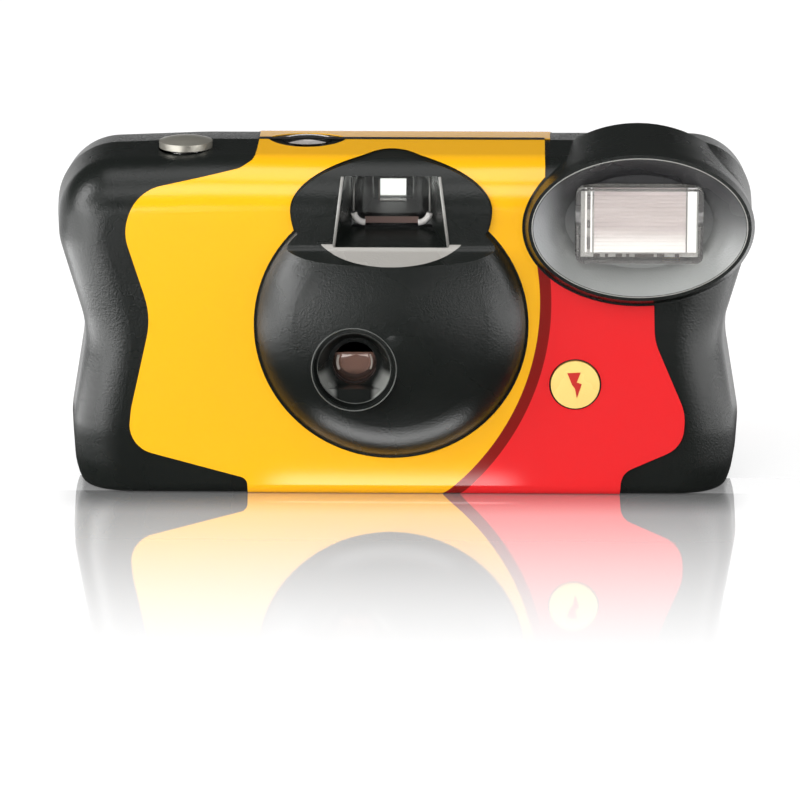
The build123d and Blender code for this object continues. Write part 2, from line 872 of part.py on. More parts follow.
def rear_cover():
    """Drafted rear shell with the thumb scoop, the eyepiece frame and the hood's tail."""
    outer = rear_form(0) + flash_rear_form(0)
    inner = rear_form(-cover_wall) + flash_rear_form(-cover_wall)
    scoop = Pos(cartridge_x, scoop_z) * RectangleRounded(scoop_width, scoop_height, scoop_corner)
    scoop_outer = Pos(cartridge_x, scoop_z) * RectangleRounded(
        scoop_width + 2 * cover_wall, scoop_height + 2 * cover_wall, scoop_corner + cover_wall)
    tub = slab(scoop_outer, scoop_floor_y - cover_wall, rear_y) & outer
    frame = Pos(dome_x, eyepiece_z) * RectangleRounded(
        eyepiece_width + 2 * eyepiece_frame_rim, eyepiece_height + 2 * eyepiece_frame_rim,
        finder_corner + eyepiece_frame_rim)
    sight = Pos(dome_x, eyepiece_z) * RectangleRounded(eyepiece_width, eyepiece_height, finder_corner)
    cover = outer - inner + tub
    cover = cover + slab(frame, inner_rear_y, rear_y + eyepiece_frame_proud)
    cover = cover - slab(sight, seam_y, rear_y + overrun) - button_well(0)
    cover = cover - slab(scoop, scoop_floor_y, rear_y + overrun)
    cover = cover - round_layer(
        cartridge_x, cartridge_y, wheel_radius + slot_gap, wheel_low_z - slot_gap,
        wheel_high_z + slot_gap)
    cover = cover - round_slab(ready_x, ready_z, ready_radius + ready_fit, seam_y, rear_y + overrun)
    cover = cover - round_layer(
        window_disc_x, window_disc_y, window_disc_radius + window_disc_fit, counter_high_z,
        body_height + overrun)
    return cover


def rod(start, end, radius):
    """A round wire between two points in space."""
    path = Vector(*end) - Vector(*start)
    return extrude(Plane(origin=start, z_dir=path) * Circle(radius), amount=path.length)


def wire(points, radius):
    """A bent wire: straight runs with a ball at each bend."""
    runs = [rod(a, b, radius) for a, b in zip(points, points[1:])]
    bends = [Pos(*point) * Sphere(radius) for point in points[1:-1]]
    return sum(runs[1:] + bends, runs[0])


def coil(radius, wire_radius, pitch, turns):
    """A helical spring that stands on z 0."""
    path = Helix(pitch, pitch * turns, radius)
    start = path @ 0
    section = Plane(origin=start, z_dir=path % 0) * Circle(wire_radius)
    return Pos(0, 0, wire_radius) * sweep(section, path=path)


def tube(x, y, outer, inner, z_low, z_high):
    return round_layer(x, y, outer, z_low, z_high) - round_layer(x, y, inner, z_low, z_high)


def finder_lens_block(grow, y_front, y_back):
    edge = finder_lens_edge + grow
    sketch = Pos(dome_x, finder_lens_z) * Rectangle(
        finder_lens_width + 2 * edge, finder_lens_height + 2 * edge)
    return slab(sketch, y_front, y_back)


def viewfinder_front_lens():
    """Front window of the finder: flat in front, hollowed behind."""
    lens = finder_lens_block(0, finder_lens_y, finder_lens_back_y)
    half = finder_lens_width / 2
    radius = (half ** 2 + finder_lens_hollow ** 2) / (2 * finder_lens_hollow)
    centre_y = finder_lens_back_y - finder_lens_hollow + radius
    return lens - Pos(dome_x, centre_y, finder_lens_z) * Sphere(radius)


def finder_tube(grow, y_front, y_back):
    """The finder's tapered tube, from the window's size to the eyepiece's."""
    front = Pos(dome_x, finder_lens_z) * Rectangle(
        finder_lens_width + 2 * grow, finder_lens_height + 2 * grow)
    back = Pos(dome_x, eyepiece_z) * Rectangle(
        eyepiece_width + 2 * grow, eyepiece_height + 2 * grow)
    return loft([front_plane(y_back) * back, front_plane(y_front) * front], ruled=True)


def eyepiece_sketch(grow):
    size = (eyepiece_width + 2 * grow, eyepiece_height + 2 * grow)
    return Pos(dome_x, eyepiece_z) * Rectangle(*size)


eyepiece_back_y = inner_rear_y - part_gap
eyepiece_front_y = eyepiece_back_y - eyepiece_thickness


def viewfinder_housing():
    """Tapered tube between the finder window and the eyepiece."""
    back = inner_rear_y - touch_gap
    housing = finder_tube(finder_wall, finder_lens_back_y, back)
    housing = housing - finder_tube(0, finder_lens_back_y, back)
    return housing - slab(eyepiece_sketch(eyepiece_seat + touch_gap), eyepiece_front_y, rear_y)


def viewfinder_eyepiece():
    """Eyepiece lens with a bulged face towards the film side of the finder."""
    lens = slab(eyepiece_sketch(eyepiece_seat), eyepiece_front_y, eyepiece_back_y)
    half = eyepiece_width / 2
    radius = (half ** 2 + eyepiece_crown ** 2) / (2 * eyepiece_crown)
    ball = Pos(dome_x, eyepiece_front_y - eyepiece_crown + radius, eyepiece_z) * Sphere(radius)
    bulge = ball & slab(
        eyepiece_sketch(0), eyepiece_front_y - eyepiece_crown, eyepiece_front_y)
    return lens + bulge


def lens_turned(points):
    """Turns an outline of radius and depth pairs round the lens line."""
    section = make_face(Polyline(*[(radius, -depth) for radius, depth in points], close=True))
    return Pos(lens_x, 0, lens_z) * Rot(90, 0, 0) * revolve(Plane.XZ * section, Axis.Z)


lens_seat_y = lens_front_y + retainer_thickness
lens_back_y = lens_seat_y + lens_edge


def bowed_cap(radius, bow, edge_y):
    """The ball that a lens face of this radius and bow is cut by, towards the front."""
    curve = (radius ** 2 + bow ** 2) / (2 * bow)
    return Pos(lens_x, edge_y - bow + curve, lens_z) * Sphere(curve)


def taking_lens():
    """Single moulded meniscus lens, bowed towards the front."""
    rim = round_slab(lens_x, lens_z, lens_radius, lens_seat_y, lens_back_y)
    clear = cup_bore_radius - lens_seat_gap
    front = round_slab(lens_x, lens_z, clear, lens_seat_y - lens_front_bow, lens_seat_y)
    lens = rim + (front & bowed_cap(clear, lens_front_bow, lens_seat_y))
    return lens - bowed_cap(clear, lens_rear_bow, lens_back_y)


def lens_retainer():
    """Snap ring that holds the lens in its barrel."""
    rim = retainer_radius - retainer_rim
    return lens_turned([
        (retainer_bore, lens_seat_y), (retainer_bore, lens_front_y + retainer_rim),
        (retainer_bore + retainer_rim, lens_front_y), (rim, lens_front_y),
        (retainer_radius, lens_front_y + retainer_rim), (retainer_radius, lens_seat_y)])


def pillar_places():
    return [
        (dome_x + plate_radius * x, dome_z + plate_radius * z)
        for x, z in zip(pillar_x_shares, pillar_z_shares)]


def shutter_housing():
    """Plate behind the dome with the lens barrel, three pillars and the blade's pin."""
    disc = round_slab(dome_x, dome_z, plate_radius, plate_front_y, plate_back_y)
    plate = disc - block(
        -half_width, half_width, front_y, seam_y, plate_high_z, body_height)
    barrel = round_slab(lens_x, lens_z, lens_radius + barrel_wall, lens_seat_y, plate_front_y)
    plate = plate + barrel
    plate = plate - round_slab(
        lens_x, lens_z, lens_radius + lens_seat_gap, lens_seat_y - touch_gap, lens_back_y)
    plate = plate - round_slab(lens_x, lens_z, lens_port_radius, front_y - overrun, plate_back_y)
    for x, z in pillar_places():
        plate = plate + round_slab(x, z, pillar_radius, plate_back_y, bulkhead_y)
    pin = round_slab(
        blade_pivot_x, blade_pivot_z, blade_pin_radius, plate_back_y, bulkhead_y - touch_gap)
    return plate + pin


blade_front_y = plate_back_y + blade_gap
blade_back_y = blade_front_y + blade_thickness


def shutter_blade():
    """Bell-crank blade: a disc that covers the aperture and a tab that the striker kicks."""
    pivot = (blade_pivot_x, blade_pivot_z)
    arm = bar(pivot, (lens_x, lens_z), blade_arm_width)
    tab = bar(pivot, (blade_tab_x, blade_tab_z), blade_tab_width)
    disc = Pos(lens_x, lens_z) * Circle(blade_disc_radius)
    hub = Pos(*pivot) * Circle(blade_hub_radius)
    bore = Pos(*pivot) * Circle(blade_pin_radius + blade_pin_fit)
    return slab(arm + tab + disc + hub - bore, blade_front_y, blade_back_y)


def blade_spring():
    """Torsion spring on the blade's pin, with one leg against the pillar side."""
    turns = coil(blade_pin_radius + coil_gap + coil_wire_radius, coil_wire_radius, coil_pitch, coil_turns)
    placed = Pos(blade_pivot_x, bulkhead_y - touch_gap / 2, blade_pivot_z) * Rot(90, 0, 0) * turns
    return placed


def aperture_plate():
    """Thin plate with the fixed aperture, against the frame's bulkhead."""
    sketch = Pos(lens_x, lens_z) * Rectangle(aperture_width, aperture_height)
    hole = Pos(lens_x, lens_z) * Circle(aperture_radius)
    return slab(sketch - hole, bulkhead_y - aperture_thickness, bulkhead_y)


def striker_lever():
    """Flat lever on the counter's post, with the finger that kicks the blade."""
    pivot = (counter_x, counter_y)
    arm = bar(pivot, (striker_finger_x, striker_finger_y), striker_arm_width)
    nose = bar(pivot, (striker_nose_x, striker_nose_y), striker_nose_width)
    hub = Pos(*pivot) * Circle(striker_hub_radius)
    bore = Pos(*pivot) * Circle(post_radius + post_fit)
    finger = round_layer(
        striker_finger_x, striker_finger_y, striker_finger_radius, striker_finger_low,
        striker_high_z)
    return layer(arm + nose + hub - bore, striker_low_z, striker_high_z) + finger


def striker_spring():
    """Torsion spring round the post, under the striker."""
    turns = coil(post_radius + coil_gap + coil_wire_radius, coil_wire_radius, coil_pitch, coil_turns)
    return Pos(counter_x, counter_y, deck_high_z + touch_gap / 2) * turns


def release_lever():
    """Rocker under the shutter button, on a pin across the frame's bracket."""
    pivot = (lever_pivot_x, lever_pivot_z)
    mid_y = (lever_front_y + lever_back_y) / 2
    arm = bar((button_x, button_y), (lever_pivot_x, mid_y), lever_width)
    pad = Pos(button_x, button_y) * Circle(lever_pad_radius)
    top = layer(arm + pad, lever_low_z, lever_high_z)
    reach = block(
        lever_pivot_x - lever_width / 2, lever_pivot_x + lever_width / 2, lever_front_y,
        lever_back_y, lever_pivot_z, lever_high_z)
    hub = slab(Pos(*pivot) * Circle(lever_hub_radius), lever_front_y, lever_back_y)
    tail = slab(
        bar(pivot, (lever_tail_x, lever_tail_z), lever_tail_width), lever_front_y, lever_back_y)
    bore = slab(
        Pos(*pivot) * Circle(lever_pin_radius + lever_pin_fit), lever_front_y, lever_back_y)
    return top + reach + hub + tail - bore


button_stem_low_z = lever_high_z + touch_gap


def shutter_button():
    """Domed button cap with a skirt and a stem that meets the rocker."""
    top = body_height + button_proud
    skirt_low = well_floor_z + button_travel + touch_gap
    cap = round_layer(button_x, button_y, button_radius, skirt_low, top)
    cap = cap - round_layer(
        button_x, button_y, button_radius - button_skirt, skirt_low, button_roof_z)
    curve = (button_radius ** 2 + button_crown ** 2) / (2 * button_crown)
    ball = Pos(button_x, button_y, top + button_crown - curve) * Sphere(curve)
    crown = ball & round_layer(button_x, button_y, button_radius, top, top + overrun)
    stem = round_layer(
        button_x, button_y, button_stem_radius, button_stem_low_z, button_roof_z)
    return cap + crown + stem


def button_spring():
    """Light coil spring between the well's floor and the button's roof."""
    room = button_roof_z - well_floor_z - touch_gap - 2 * spring_wire_radius
    turns = coil(spring_coil_radius, spring_wire_radius, room / spring_turns, spring_turns)
    return Pos(button_x, button_y, well_floor_z + touch_gap / 2) * turns


def counter_window():
    """Clear domed disc over the counter, held by a flange under the covers."""
    edge = window_disc_radius
    wide = edge + window_disc_flange
    seat = inner_top_z - 2 * part_gap
    low = seat - window_disc_flange_thickness
    sides = Polyline(
        (edge, body_height), (edge, seat), (wide, seat), (wide, low), (0, low),
        (0, body_height + window_disc_crown))
    curve = (edge ** 2 + window_disc_crown ** 2) / (2 * window_disc_crown)
    half = math.asin(edge / curve) / 2
    centre = body_height + window_disc_crown - curve
    crown = ThreePointArc(
        (0, body_height + window_disc_crown),
        (curve * math.sin(half), centre + curve * math.cos(half)), (edge, body_height))
    section = make_face([*sides.edges(), crown])
    return Pos(window_disc_x, window_disc_y) * revolve(Plane.XZ * section, Axis.Z)


def counter_wheel():
    """Toothed frame counter that turns on the post."""
    root = counter_radius - counter_tooth_depth
    step = 2 * math.pi * root / counter_teeth
    disc = Circle(root)
    tooth = Polygon(
        (root - counter_tooth_depth, -step / 2), (counter_radius, 0),
        (root - counter_tooth_depth, step / 2), align=None)
    teeth = [place * tooth for place in PolarLocations(0, counter_teeth)]
    bore = Circle(post_radius + post_fit)
    dial = layer(sum(teeth, disc) - bore, counter_low_z, counter_high_z)
    hub = layer(Circle(counter_hub_radius) - bore, striker_high_z + part_gap, counter_low_z)
    return Pos(counter_x, counter_y) * (dial + hub)


def thumb_wheel():
    """Notched wind-on wheel with a hub in the deck and a fork in the cartridge's knob."""
    disc = Circle(wheel_radius)
    notch = Pos(wheel_radius, 0) * Rectangle(2 * wheel_notch_depth, wheel_notch_width)
    notches = [place * notch for place in PolarLocations(0, wheel_notches)]
    wheel = layer(disc - sum(notches[1:], notches[0]), wheel_low_z, wheel_high_z)
    hub_low = wheel_low_z - wheel_hub_engage
    wheel = wheel + layer(Circle(wheel_hub_radius), hub_low, wheel_low_z)
    wheel = wheel - layer(
        Circle(wheel_dish_radius), wheel_high_z - wheel_dish_depth, wheel_high_z)
    pocket_top = cartridge_high_z + knob_length + knob_pocket_gap
    wheel = wheel - layer(Circle(knob_pocket_radius), hub_low, pocket_top)
    fork_low = cartridge_high_z + knob_length - fork_length
    fork = layer(Rectangle(fork_width, fork_thickness), fork_low, pocket_top)
    return Pos(cartridge_x, cartridge_y) * (wheel + fork)


def cartridge_shell():
    """Metal film can with the two lips of its light trap."""
    x, y = cartridge_x, cartridge_y
    outer = cartridge_radius - cap_lip
    shell = tube(x, y, outer, outer - can_wall, cartridge_low_z + cap_lip, cartridge_high_z - cap_lip)
    mid_y = film_y + film_thickness / 2
    half_slot = film_thickness / 2 + felt_gap
    low, high = film_z - lip_height / 2, film_z + lip_height / 2
    start, end = x + lip_start, x + lip_length
    front = block(start, end, mid_y - half_slot - lip_thickness, mid_y - half_slot, low, high)
    rear = block(x, end, mid_y + half_slot, mid_y + half_slot + lip_thickness, low, high)
    slot = block(start, end, mid_y - half_slot, mid_y + half_slot, low, high)
    return shell - slot + front + rear


def cartridge_end_caps():
    """Crimped caps at both ends of the can."""
    outer = cartridge_radius - cap_lip + can_fit
    floor = cap_lip - can_fit
    cap = layer(Circle(cartridge_radius), 0, cap_height)
    cap = cap - layer(Circle(outer), floor, cap_height) - layer(Circle(cap_hole_radius), 0, cap_height)
    low = Pos(cartridge_x, cartridge_y, cartridge_low_z) * cap
    high = Pos(cartridge_x, cartridge_y, cartridge_high_z) * mirror(cap, about=Plane.XY)
    return Compound([*low.solids(), *high.solids()])


def cartridge_spool():
    """Take-up spool with the webbed knob that the wheel's fork drives."""
    low = cartridge_low_z + part_gap
    top = cartridge_high_z + knob_length
    flange_low = cartridge_low_z + cap_lip + part_gap
    flange_high = cartridge_high_z - cap_lip - part_gap
    spool = layer(Circle(spool_hub_radius), low, cartridge_high_z)
    spool = spool + layer(Circle(spool_core_radius), flange_low, flange_high)
    spool = spool + layer(
        Circle(spool_flange_radius), flange_low, flange_low + spool_flange_thickness)
    spool = spool + layer(
        Circle(spool_flange_radius), flange_high - spool_flange_thickness, flange_high)
    spool = spool + layer(Circle(knob_radius), cartridge_high_z, top)
    hollow_low = top - fork_length - knob_web_height
    hollow = layer(Circle(knob_hollow_radius), hollow_low, top)
    key = layer(
        Rectangle(knob_web, 2 * knob_radius), hollow_low, top - fork_length - touch_gap)
    spool = spool - hollow + (key & layer(Circle(knob_radius), hollow_low, top))
    return Pos(cartridge_x, cartridge_y) * spool


roll_low_z = film_z - film_width / 2
roll_high_z = film_z + film_width / 2


def supply_spool():
    """Plain spool that carries the unexposed film."""
    flange_low = roll_low_z - supply_flange_gap
    flange_high = roll_high_z + supply_flange_gap
    pin_low = frame_floor_z + touch_gap
    pin_high = supply_roof_z + deck_thickness - touch_gap
    core = Circle(roll_core_radius)
    spool = layer(core, flange_low - supply_flange_thickness, flange_high + supply_flange_thickness)
    spool = spool - layer(
        Circle(roll_core_radius - supply_core_wall), flange_low, flange_high)
    flange = Circle(supply_flange_radius)
    spool = spool + layer(flange - core, flange_low - supply_flange_thickness, flange_low)
    spool = spool + layer(flange - core, flange_high, flange_high + supply_flange_thickness)
    pin = Circle(supply_pin_radius)
    spool = spool + layer(pin, pin_low, flange_low) + layer(pin, flange_high, pin_high)
    return Pos(supply_x, supply_y) * spool


def film_roll():
    """The film still wound on the supply spool."""
    return tube(
        supply_x, supply_y, roll_radius, roll_core_radius + touch_gap / 2, roll_low_z, roll_high_z)


def film_strip():
    """Film from the roll across the gate and into the can's lips."""
    mid_y = film_y + film_thickness / 2
    start = (cartridge_x + lip_start, mid_y)
    bend = (gate_right_x + part_gap + gate_right_margin / 2, mid_y)
    reach = roll_radius + film_roll_gap + film_thickness / 2
    away = (bend[0] - supply_x, bend[1] - supply_y)
    far = math.hypot(*away)
    angle = math.atan2(away[1], away[0]) - math.acos(reach / far)
    touch = (supply_x + reach * math.cos(angle), supply_y + reach * math.sin(angle))
    around = CenterArc(
        (supply_x, supply_y), reach, math.degrees(angle), -film_hold_deg)
    path = Polyline(start, bend, touch) + around
    strip = layer(trace(path, film_thickness), roll_low_z, roll_high_z)
    first = math.ceil((start[0] - sprocket_x) / perforation_pitch)
    last = math.floor((bend[0] - sprocket_x) / perforation_pitch)
    for index in range(first + 1, last):
        x = sprocket_x + index * perforation_pitch
        for side in (-1, 1):
            z = film_z + side * perforation_from_centre
            hole = Pos(x, z) * Rectangle(perforation_width, perforation_height)
            strip = strip - slab(hole, film_y - part_gap, film_y + film_thickness + part_gap)
    return strip


def sprocket_wheel():
    """Toothed disc in the film's edge holes, on the shaft that carries the cam."""
    tip_radius = sprocket_pitch_radius + sprocket_tooth_reach
    tooth = Polygon(
        (sprocket_disc_radius - part_gap, -sprocket_tooth_base / 2),
        (tip_radius, -sprocket_tooth_tip / 2), (tip_radius, sprocket_tooth_tip / 2),
        (sprocket_disc_radius - part_gap, sprocket_tooth_base / 2), align=None)
    teeth = [place * tooth for place in PolarLocations(0, sprocket_teeth)]
    wheel = layer(sum(teeth, Circle(sprocket_disc_radius)), sprocket_low_z, sprocket_high_z)
    foot = layer(Circle(shaft_foot_radius), sprocket_low_z - shaft_foot_length, sprocket_low_z)
    shaft = layer(Circle(shaft_radius), sprocket_high_z, deck_high_z + cam_gap)
    return Pos(sprocket_x, sprocket_y) * (wheel + foot + shaft)


def metering_cam():
    """Cam and counter finger pressed on the sprocket's shaft."""
    low = deck_high_z + cam_gap
    body = Circle(cam_radius) + Rot(0, 0, 45) * bar(
        (0, 0), (cam_radius + cam_lobe_reach - finger_radius, 0), 2 * finger_radius)
    cam = layer(body, low, low + cam_thickness)
    spindle = layer(Circle(finger_radius), low + cam_thickness, counter_low_z + part_gap + finger_height)
    finger = layer(
        bar((0, 0), (0, -(finger_reach - finger_width / 2)), finger_width),
        counter_low_z + part_gap, counter_low_z + part_gap + finger_height)
    return Pos(sprocket_x, sprocket_y) * (cam + spindle + finger)


def gate_tunnel(grow):
    """The light path from the shutter to the film gate, as a tapered block."""
    mouth = Pos(lens_x, lens_z) * Rectangle(
        2 * (tunnel_mouth_half + grow), 2 * (tunnel_mouth_half + grow))
    gate = Pos(gate_x, film_z) * Rectangle(frame_width + 2 * grow, frame_height + 2 * grow)
    front_y_here = bulkhead_y + bulkhead_thickness
    back_y_here = film_y - gate_film_gap - gate_plate_thickness
    return loft([front_plane(back_y_here) * gate, front_plane(front_y_here) * mouth], ruled=True)


def reflector_sketch(grow):
    """The reflector's side view: a shallow bowl curve, drawn in Y and Z."""
    half = reflector_half_height + grow
    front = reflector_front_y
    back = reflector_back_y + grow
    knee = (front + back) / 2
    share = math.sqrt((back - knee) / (back - front))
    mid = share * half
    points = [(front, half), (knee, mid), (back, 0), (knee, -mid), (front, -half)]
    curve = Spline(*[(y, window_z + z) for y, z in points])
    return make_face([curve, Line(curve @ 1, curve @ 0)])


def reflector_block(grow):
    half = reflector_width / 2 + grow
    side = Plane(origin=(flash_x - half, 0, 0), x_dir=(0, 1, 0), z_dir=(1, 0, 0))
    return extrude(side * reflector_sketch(grow), amount=2 * half)


def frame_envelope():
    """The room inside both covers, less a small clearance."""
    grow = -cover_wall - frame_clearance
    return front_form(grow) + rear_form(grow)


def main_frame():
    """Film chambers, gate, light tunnel, deck and the posts of the mechanism, in one moulding."""
    top = deck_low_z
    x, y = cartridge_x, cartridge_y
    floor = frame_floor_z
    wall = chamber_radius + chamber_wall
    take_up = tube(x, y, wall, chamber_radius, floor, top)
    supply_wall = supply_chamber_radius + chamber_wall
    supply_top = supply_roof_z + deck_thickness
    supply = tube(supply_x, supply_y, supply_wall, supply_chamber_radius, floor, supply_top)
    plate_back = film_y - gate_film_gap
    plate_front = plate_back - gate_plate_thickness
    plate_left = x + chamber_radius
    plate = block(plate_left, gate_right_x + gate_right_margin, plate_front, plate_back, floor, top)
    film_path = block(x, supply_x, plate_front, inner_rear_y, floor + frame_floor_thickness, top)
    frame = take_up + supply - film_path + plate
    web_front = plate_front - gate_plate_thickness
    web_right = supply_x - math.sqrt(supply_chamber_radius ** 2 - (web_front - supply_y) ** 2)
    frame = frame + block(gate_right_x, web_right, web_front, plate_front, floor, top)
    frame = frame + gate_tunnel(tunnel_wall)
    bulk = Pos(
        lens_x + (bulkhead_right_margin - bulkhead_left_margin) / 2,
        (bulkhead_low_z + top) / 2) * RectangleRounded(
            bulkhead_left_margin + bulkhead_right_margin, top - bulkhead_low_z, bulkhead_corner)
    frame = frame + slab(bulk, bulkhead_y, bulkhead_y + bulkhead_thickness)
    deck_right = dome_x - finder_low_half_width - finder_wall - finder_well_gap
    frame = frame + block(-half_width, deck_right, front_y, plate_front, deck_low_z, deck_high_z)
    frame = frame + block(
        plate_left, deck_right, plate_front, plate_back, deck_low_z, deck_high_z)
    frame = frame + round_layer(supply_x, supply_y, supply_wall, floor, floor + frame_floor_thickness)
    frame = frame + round_layer(supply_x, supply_y, supply_wall, supply_roof_z, supply_top)
    frame = frame + cradle() + capacitor_saddle()
    rib_x = supply_x
    frame = frame + block(
        rib_x - board_rib_width / 2, rib_x + board_rib_width / 2, board_back_y,
        supply_y - supply_chamber_radius, cradle_low_z, cradle_high_z)
    frame = frame + block(
        ready_x - lamp_post_width / 2, ready_x + lamp_post_width / 2,
        plate_back - lamp_post_depth, plate_back, supply_roof_z, ready_z - ready_radius - touch_gap)
    foot_low = sprocket_low_z - shaft_foot_length - part_gap
    frame = frame + round_layer(
        sprocket_x, sprocket_y, shaft_foot_radius + chamber_wall, foot_low - chamber_wall,
        sprocket_low_z - part_gap)
    frame = frame - gate_tunnel(0)
    gate = Pos(gate_x, film_z) * Rectangle(frame_width, frame_height)
    frame = frame - slab(gate, plate_front - touch_gap, inner_rear_y)
    frame = frame - round_slab(lens_x, lens_z, lens_port_radius, bulkhead_y - overrun, plate_front)
    tip = sprocket_pitch_radius + sprocket_tooth_reach + sprocket_slot_gap
    frame = frame - round_layer(
        sprocket_x, sprocket_y, tip, sprocket_low_z - part_gap, sprocket_high_z + part_gap)
    frame = frame - round_layer(
        sprocket_x, sprocket_y, shaft_foot_radius + shaft_fit, foot_low, sprocket_low_z)
    frame = frame - round_layer(
        sprocket_x, sprocket_y, shaft_radius + shaft_fit, sprocket_high_z, deck_high_z)
    frame = frame - round_layer(x, y, wheel_hub_radius + wheel_hub_fit, deck_low_z, deck_high_z)
    pin_hole = supply_pin_radius + supply_pin_fit
    frame = frame - round_layer(supply_x, supply_y, pin_hole, floor, supply_top)
    frame = frame - finder_clearance() - reflector_block(part_gap)
    frame = frame - block(
        striker_finger_x - striker_slot_left, striker_finger_x + striker_slot_right,
        front_y, bulkhead_y, film_z, deck_high_z)
    tub = Pos(x, scoop_z) * Rectangle(
        scoop_width + 2 * (cover_wall + part_gap), scoop_height + 2 * (cover_wall + part_gap))
    frame = frame - slab(tub, scoop_floor_y - cover_wall - part_gap, rear_y)
    frame = frame & frame_envelope()
    return frame + posts()


def finder_clearance():
    """Room for the finder's funnel and tube."""
    half = finder_low_half_width + finder_wall + finder_well_gap
    front = block(
        dome_x - half, dome_x + half, front_y - overrun, finder_lens_back_y,
        finder_mouth_low_z - finder_wall - finder_well_gap, body_height)
    rear = block(
        dome_x - half, dome_x + half, finder_lens_y, rear_y,
        finder_lens_low_z - finder_wall - finder_well_gap, body_height)
    return front + rear


def posts():
    """The counter's post and the rocker's bracket with its pin."""
    post = round_layer(counter_x, counter_y, post_radius, deck_high_z, counter_high_z + part_gap)
    half = lever_bracket_width / 2
    bracket_back = lever_front_y - part_gap
    bracket = block(
        lever_pivot_x - half, lever_pivot_x + half, bracket_back - lever_bracket_thickness,
        bracket_back, deck_high_z, lever_pivot_z + half)
    pin = slab(
        Pos(lever_pivot_x, lever_pivot_z) * Circle(lever_pin_radius), bracket_back,
        lever_back_y + touch_gap)
    return post + bracket + pin


def cradle():
    """Half sleeve round the battery, tied to the supply chamber."""
    inner = battery_radius + cradle_gap
    outer = inner + cradle_wall
    sleeve = tube(battery_x, battery_y, outer, inner, cradle_low_z, cradle_high_z)
    sleeve = sleeve - block(
        battery_x - outer, half_width, battery_y, rear_y, cradle_low_z, cradle_high_z)
    link = block(
        supply_x + supply_chamber_radius, battery_x - inner, battery_y - cradle_link_width,
        battery_y, cradle_low_z, cradle_high_z)
    return sleeve + link


def capacitor_saddle():
    """Web under the light tunnel that cradles the capacitor."""
    radius = capacitor_radius + part_gap
    web = block(
        capacitor_x - capacitor_cradle_wall, capacitor_x + capacitor_cradle_wall, capacitor_y,
        film_y - gate_film_gap, frame_floor_z, lens_z - tunnel_mouth_half)
    hole = Plane(origin=(-half_width, 0, 0), x_dir=(0, 1, 0), z_dir=(1, 0, 0)) * (
        Pos(capacitor_y, capacitor_z) * Circle(radius))
    return web - extrude(hole, amount=body_width)


def flash_window():
    """Clear flash window: a hollow block with a flange behind the dish."""
    front = slab(window_sketch(0), window_front_y, dish_back_y)
    flange = slab(window_sketch(window_flange), dish_back_y, dish_back_y + window_flange_thickness)
    hollow = Pos(flash_x, window_z) * Rectangle(
        window_width - 2 * window_wall, window_height - 2 * window_wall)
    return front + flange - slab(hollow, window_front_y + window_wall, rear_y)


def flash_reflector():
    """Bright trough round the flash tube, closed at both ends."""
    shell = reflector_block(0) - reflector_hollow()
    hole = Plane(origin=(flash_x - reflector_width, 0, 0), x_dir=(0, 1, 0), z_dir=(1, 0, 0)) * (
        Pos(tube_y, window_z) * Circle(tube_radius + tube_hole_gap))
    return shell - extrude(hole, amount=2 * reflector_width)


def reflector_hollow():
    inside = reflector_block(-reflector_wall)
    return inside


def flash_tube():
    """Glass tube across the reflector."""
    half = tube_length / 2
    return rod((flash_x - half, tube_y, window_z), (flash_x + half, tube_y, window_z), tube_radius)


def tube_leads():
    """Wires from the tube's ends down to the board."""
    half = tube_length / 2 - lead_radius
    drop_y = tube_y - lead_forward
    board_z = board_high_z - board_thickness
    leads = []
    for side in (-1, 1):
        x = flash_x + side * (half - lead_radius)
        board_x = min(x, board_right_x - board_thickness)
        points = [
            (x, drop_y, window_z - tube_radius), (x, drop_y, board_z),
            (board_x, board_back_y + lead_radius + touch_gap, board_z)]
        leads.extend(wire(points, lead_radius).solids())
    return Compound(leads)


def circuit_board():
    """Board behind the red part of the front."""
    size = (board_right_x - board_left_x, board_high_z - board_low_z)
    centre = ((board_left_x + board_right_x) / 2, (board_low_z + board_high_z) / 2)
    return slab(Pos(*centre) * RectangleRounded(*size, board_corner), board_front_y, board_back_y)


def lying_turned(points, x, y, z):
    """Turns an outline of radius and length pairs about a line along X."""
    section = make_face(Polyline(*points, close=True))
    return Pos(x, y, z) * Rot(0, 90, 0) * revolve(Plane.XZ * section, Axis.Z)


def capacitor():
    """Flash capacitor with the rolled groove at its sealed end and two leads to the board."""
    half = capacitor_length / 2
    groove = half - capacitor_groove_in
    slim = capacitor_radius - capacitor_groove
    can = lying_turned([
        (0, -half), (slim, -half), (capacitor_radius, -half + capacitor_groove),
        (capacitor_radius, groove - capacitor_groove), (slim, groove),
        (capacitor_radius, groove + capacitor_groove), (capacitor_radius, half - capacitor_groove),
        (slim, half), (0, half)], capacitor_x, capacitor_y, capacitor_z)
    lead_y = board_back_y + lead_radius + touch_gap / 2
    for side in (-1, 1):
        z = capacitor_z + side * capacitor_radius / 2
        can = can + rod(
            (capacitor_x + half, lead_y, z), (board_left_x + leaf_width, lead_y, z), lead_radius)
    return can


def transformer():
    """Small winding on a plain core."""
    x, z = transformer_x, transformer_z
    back = board_back_y + transformer_depth
    core = block(
        x - transformer_width / 2, x + transformer_width / 2, board_back_y, back,
        z - transformer_height / 2, z + transformer_height / 2)
    waist_low = z - transformer_height / 2 + transformer_core
    waist_high = z + transformer_height / 2 - transformer_core
    ring = block(
        x - transformer_width, x + transformer_width, board_back_y - touch_gap, back + touch_gap,
        waist_low, waist_high)
    winding = block(
        x - transformer_width / 2 + touch_gap, x + transformer_width / 2 - touch_gap,
        board_back_y + touch_gap, back - touch_gap, waist_low, waist_high)
    return core - ring + winding


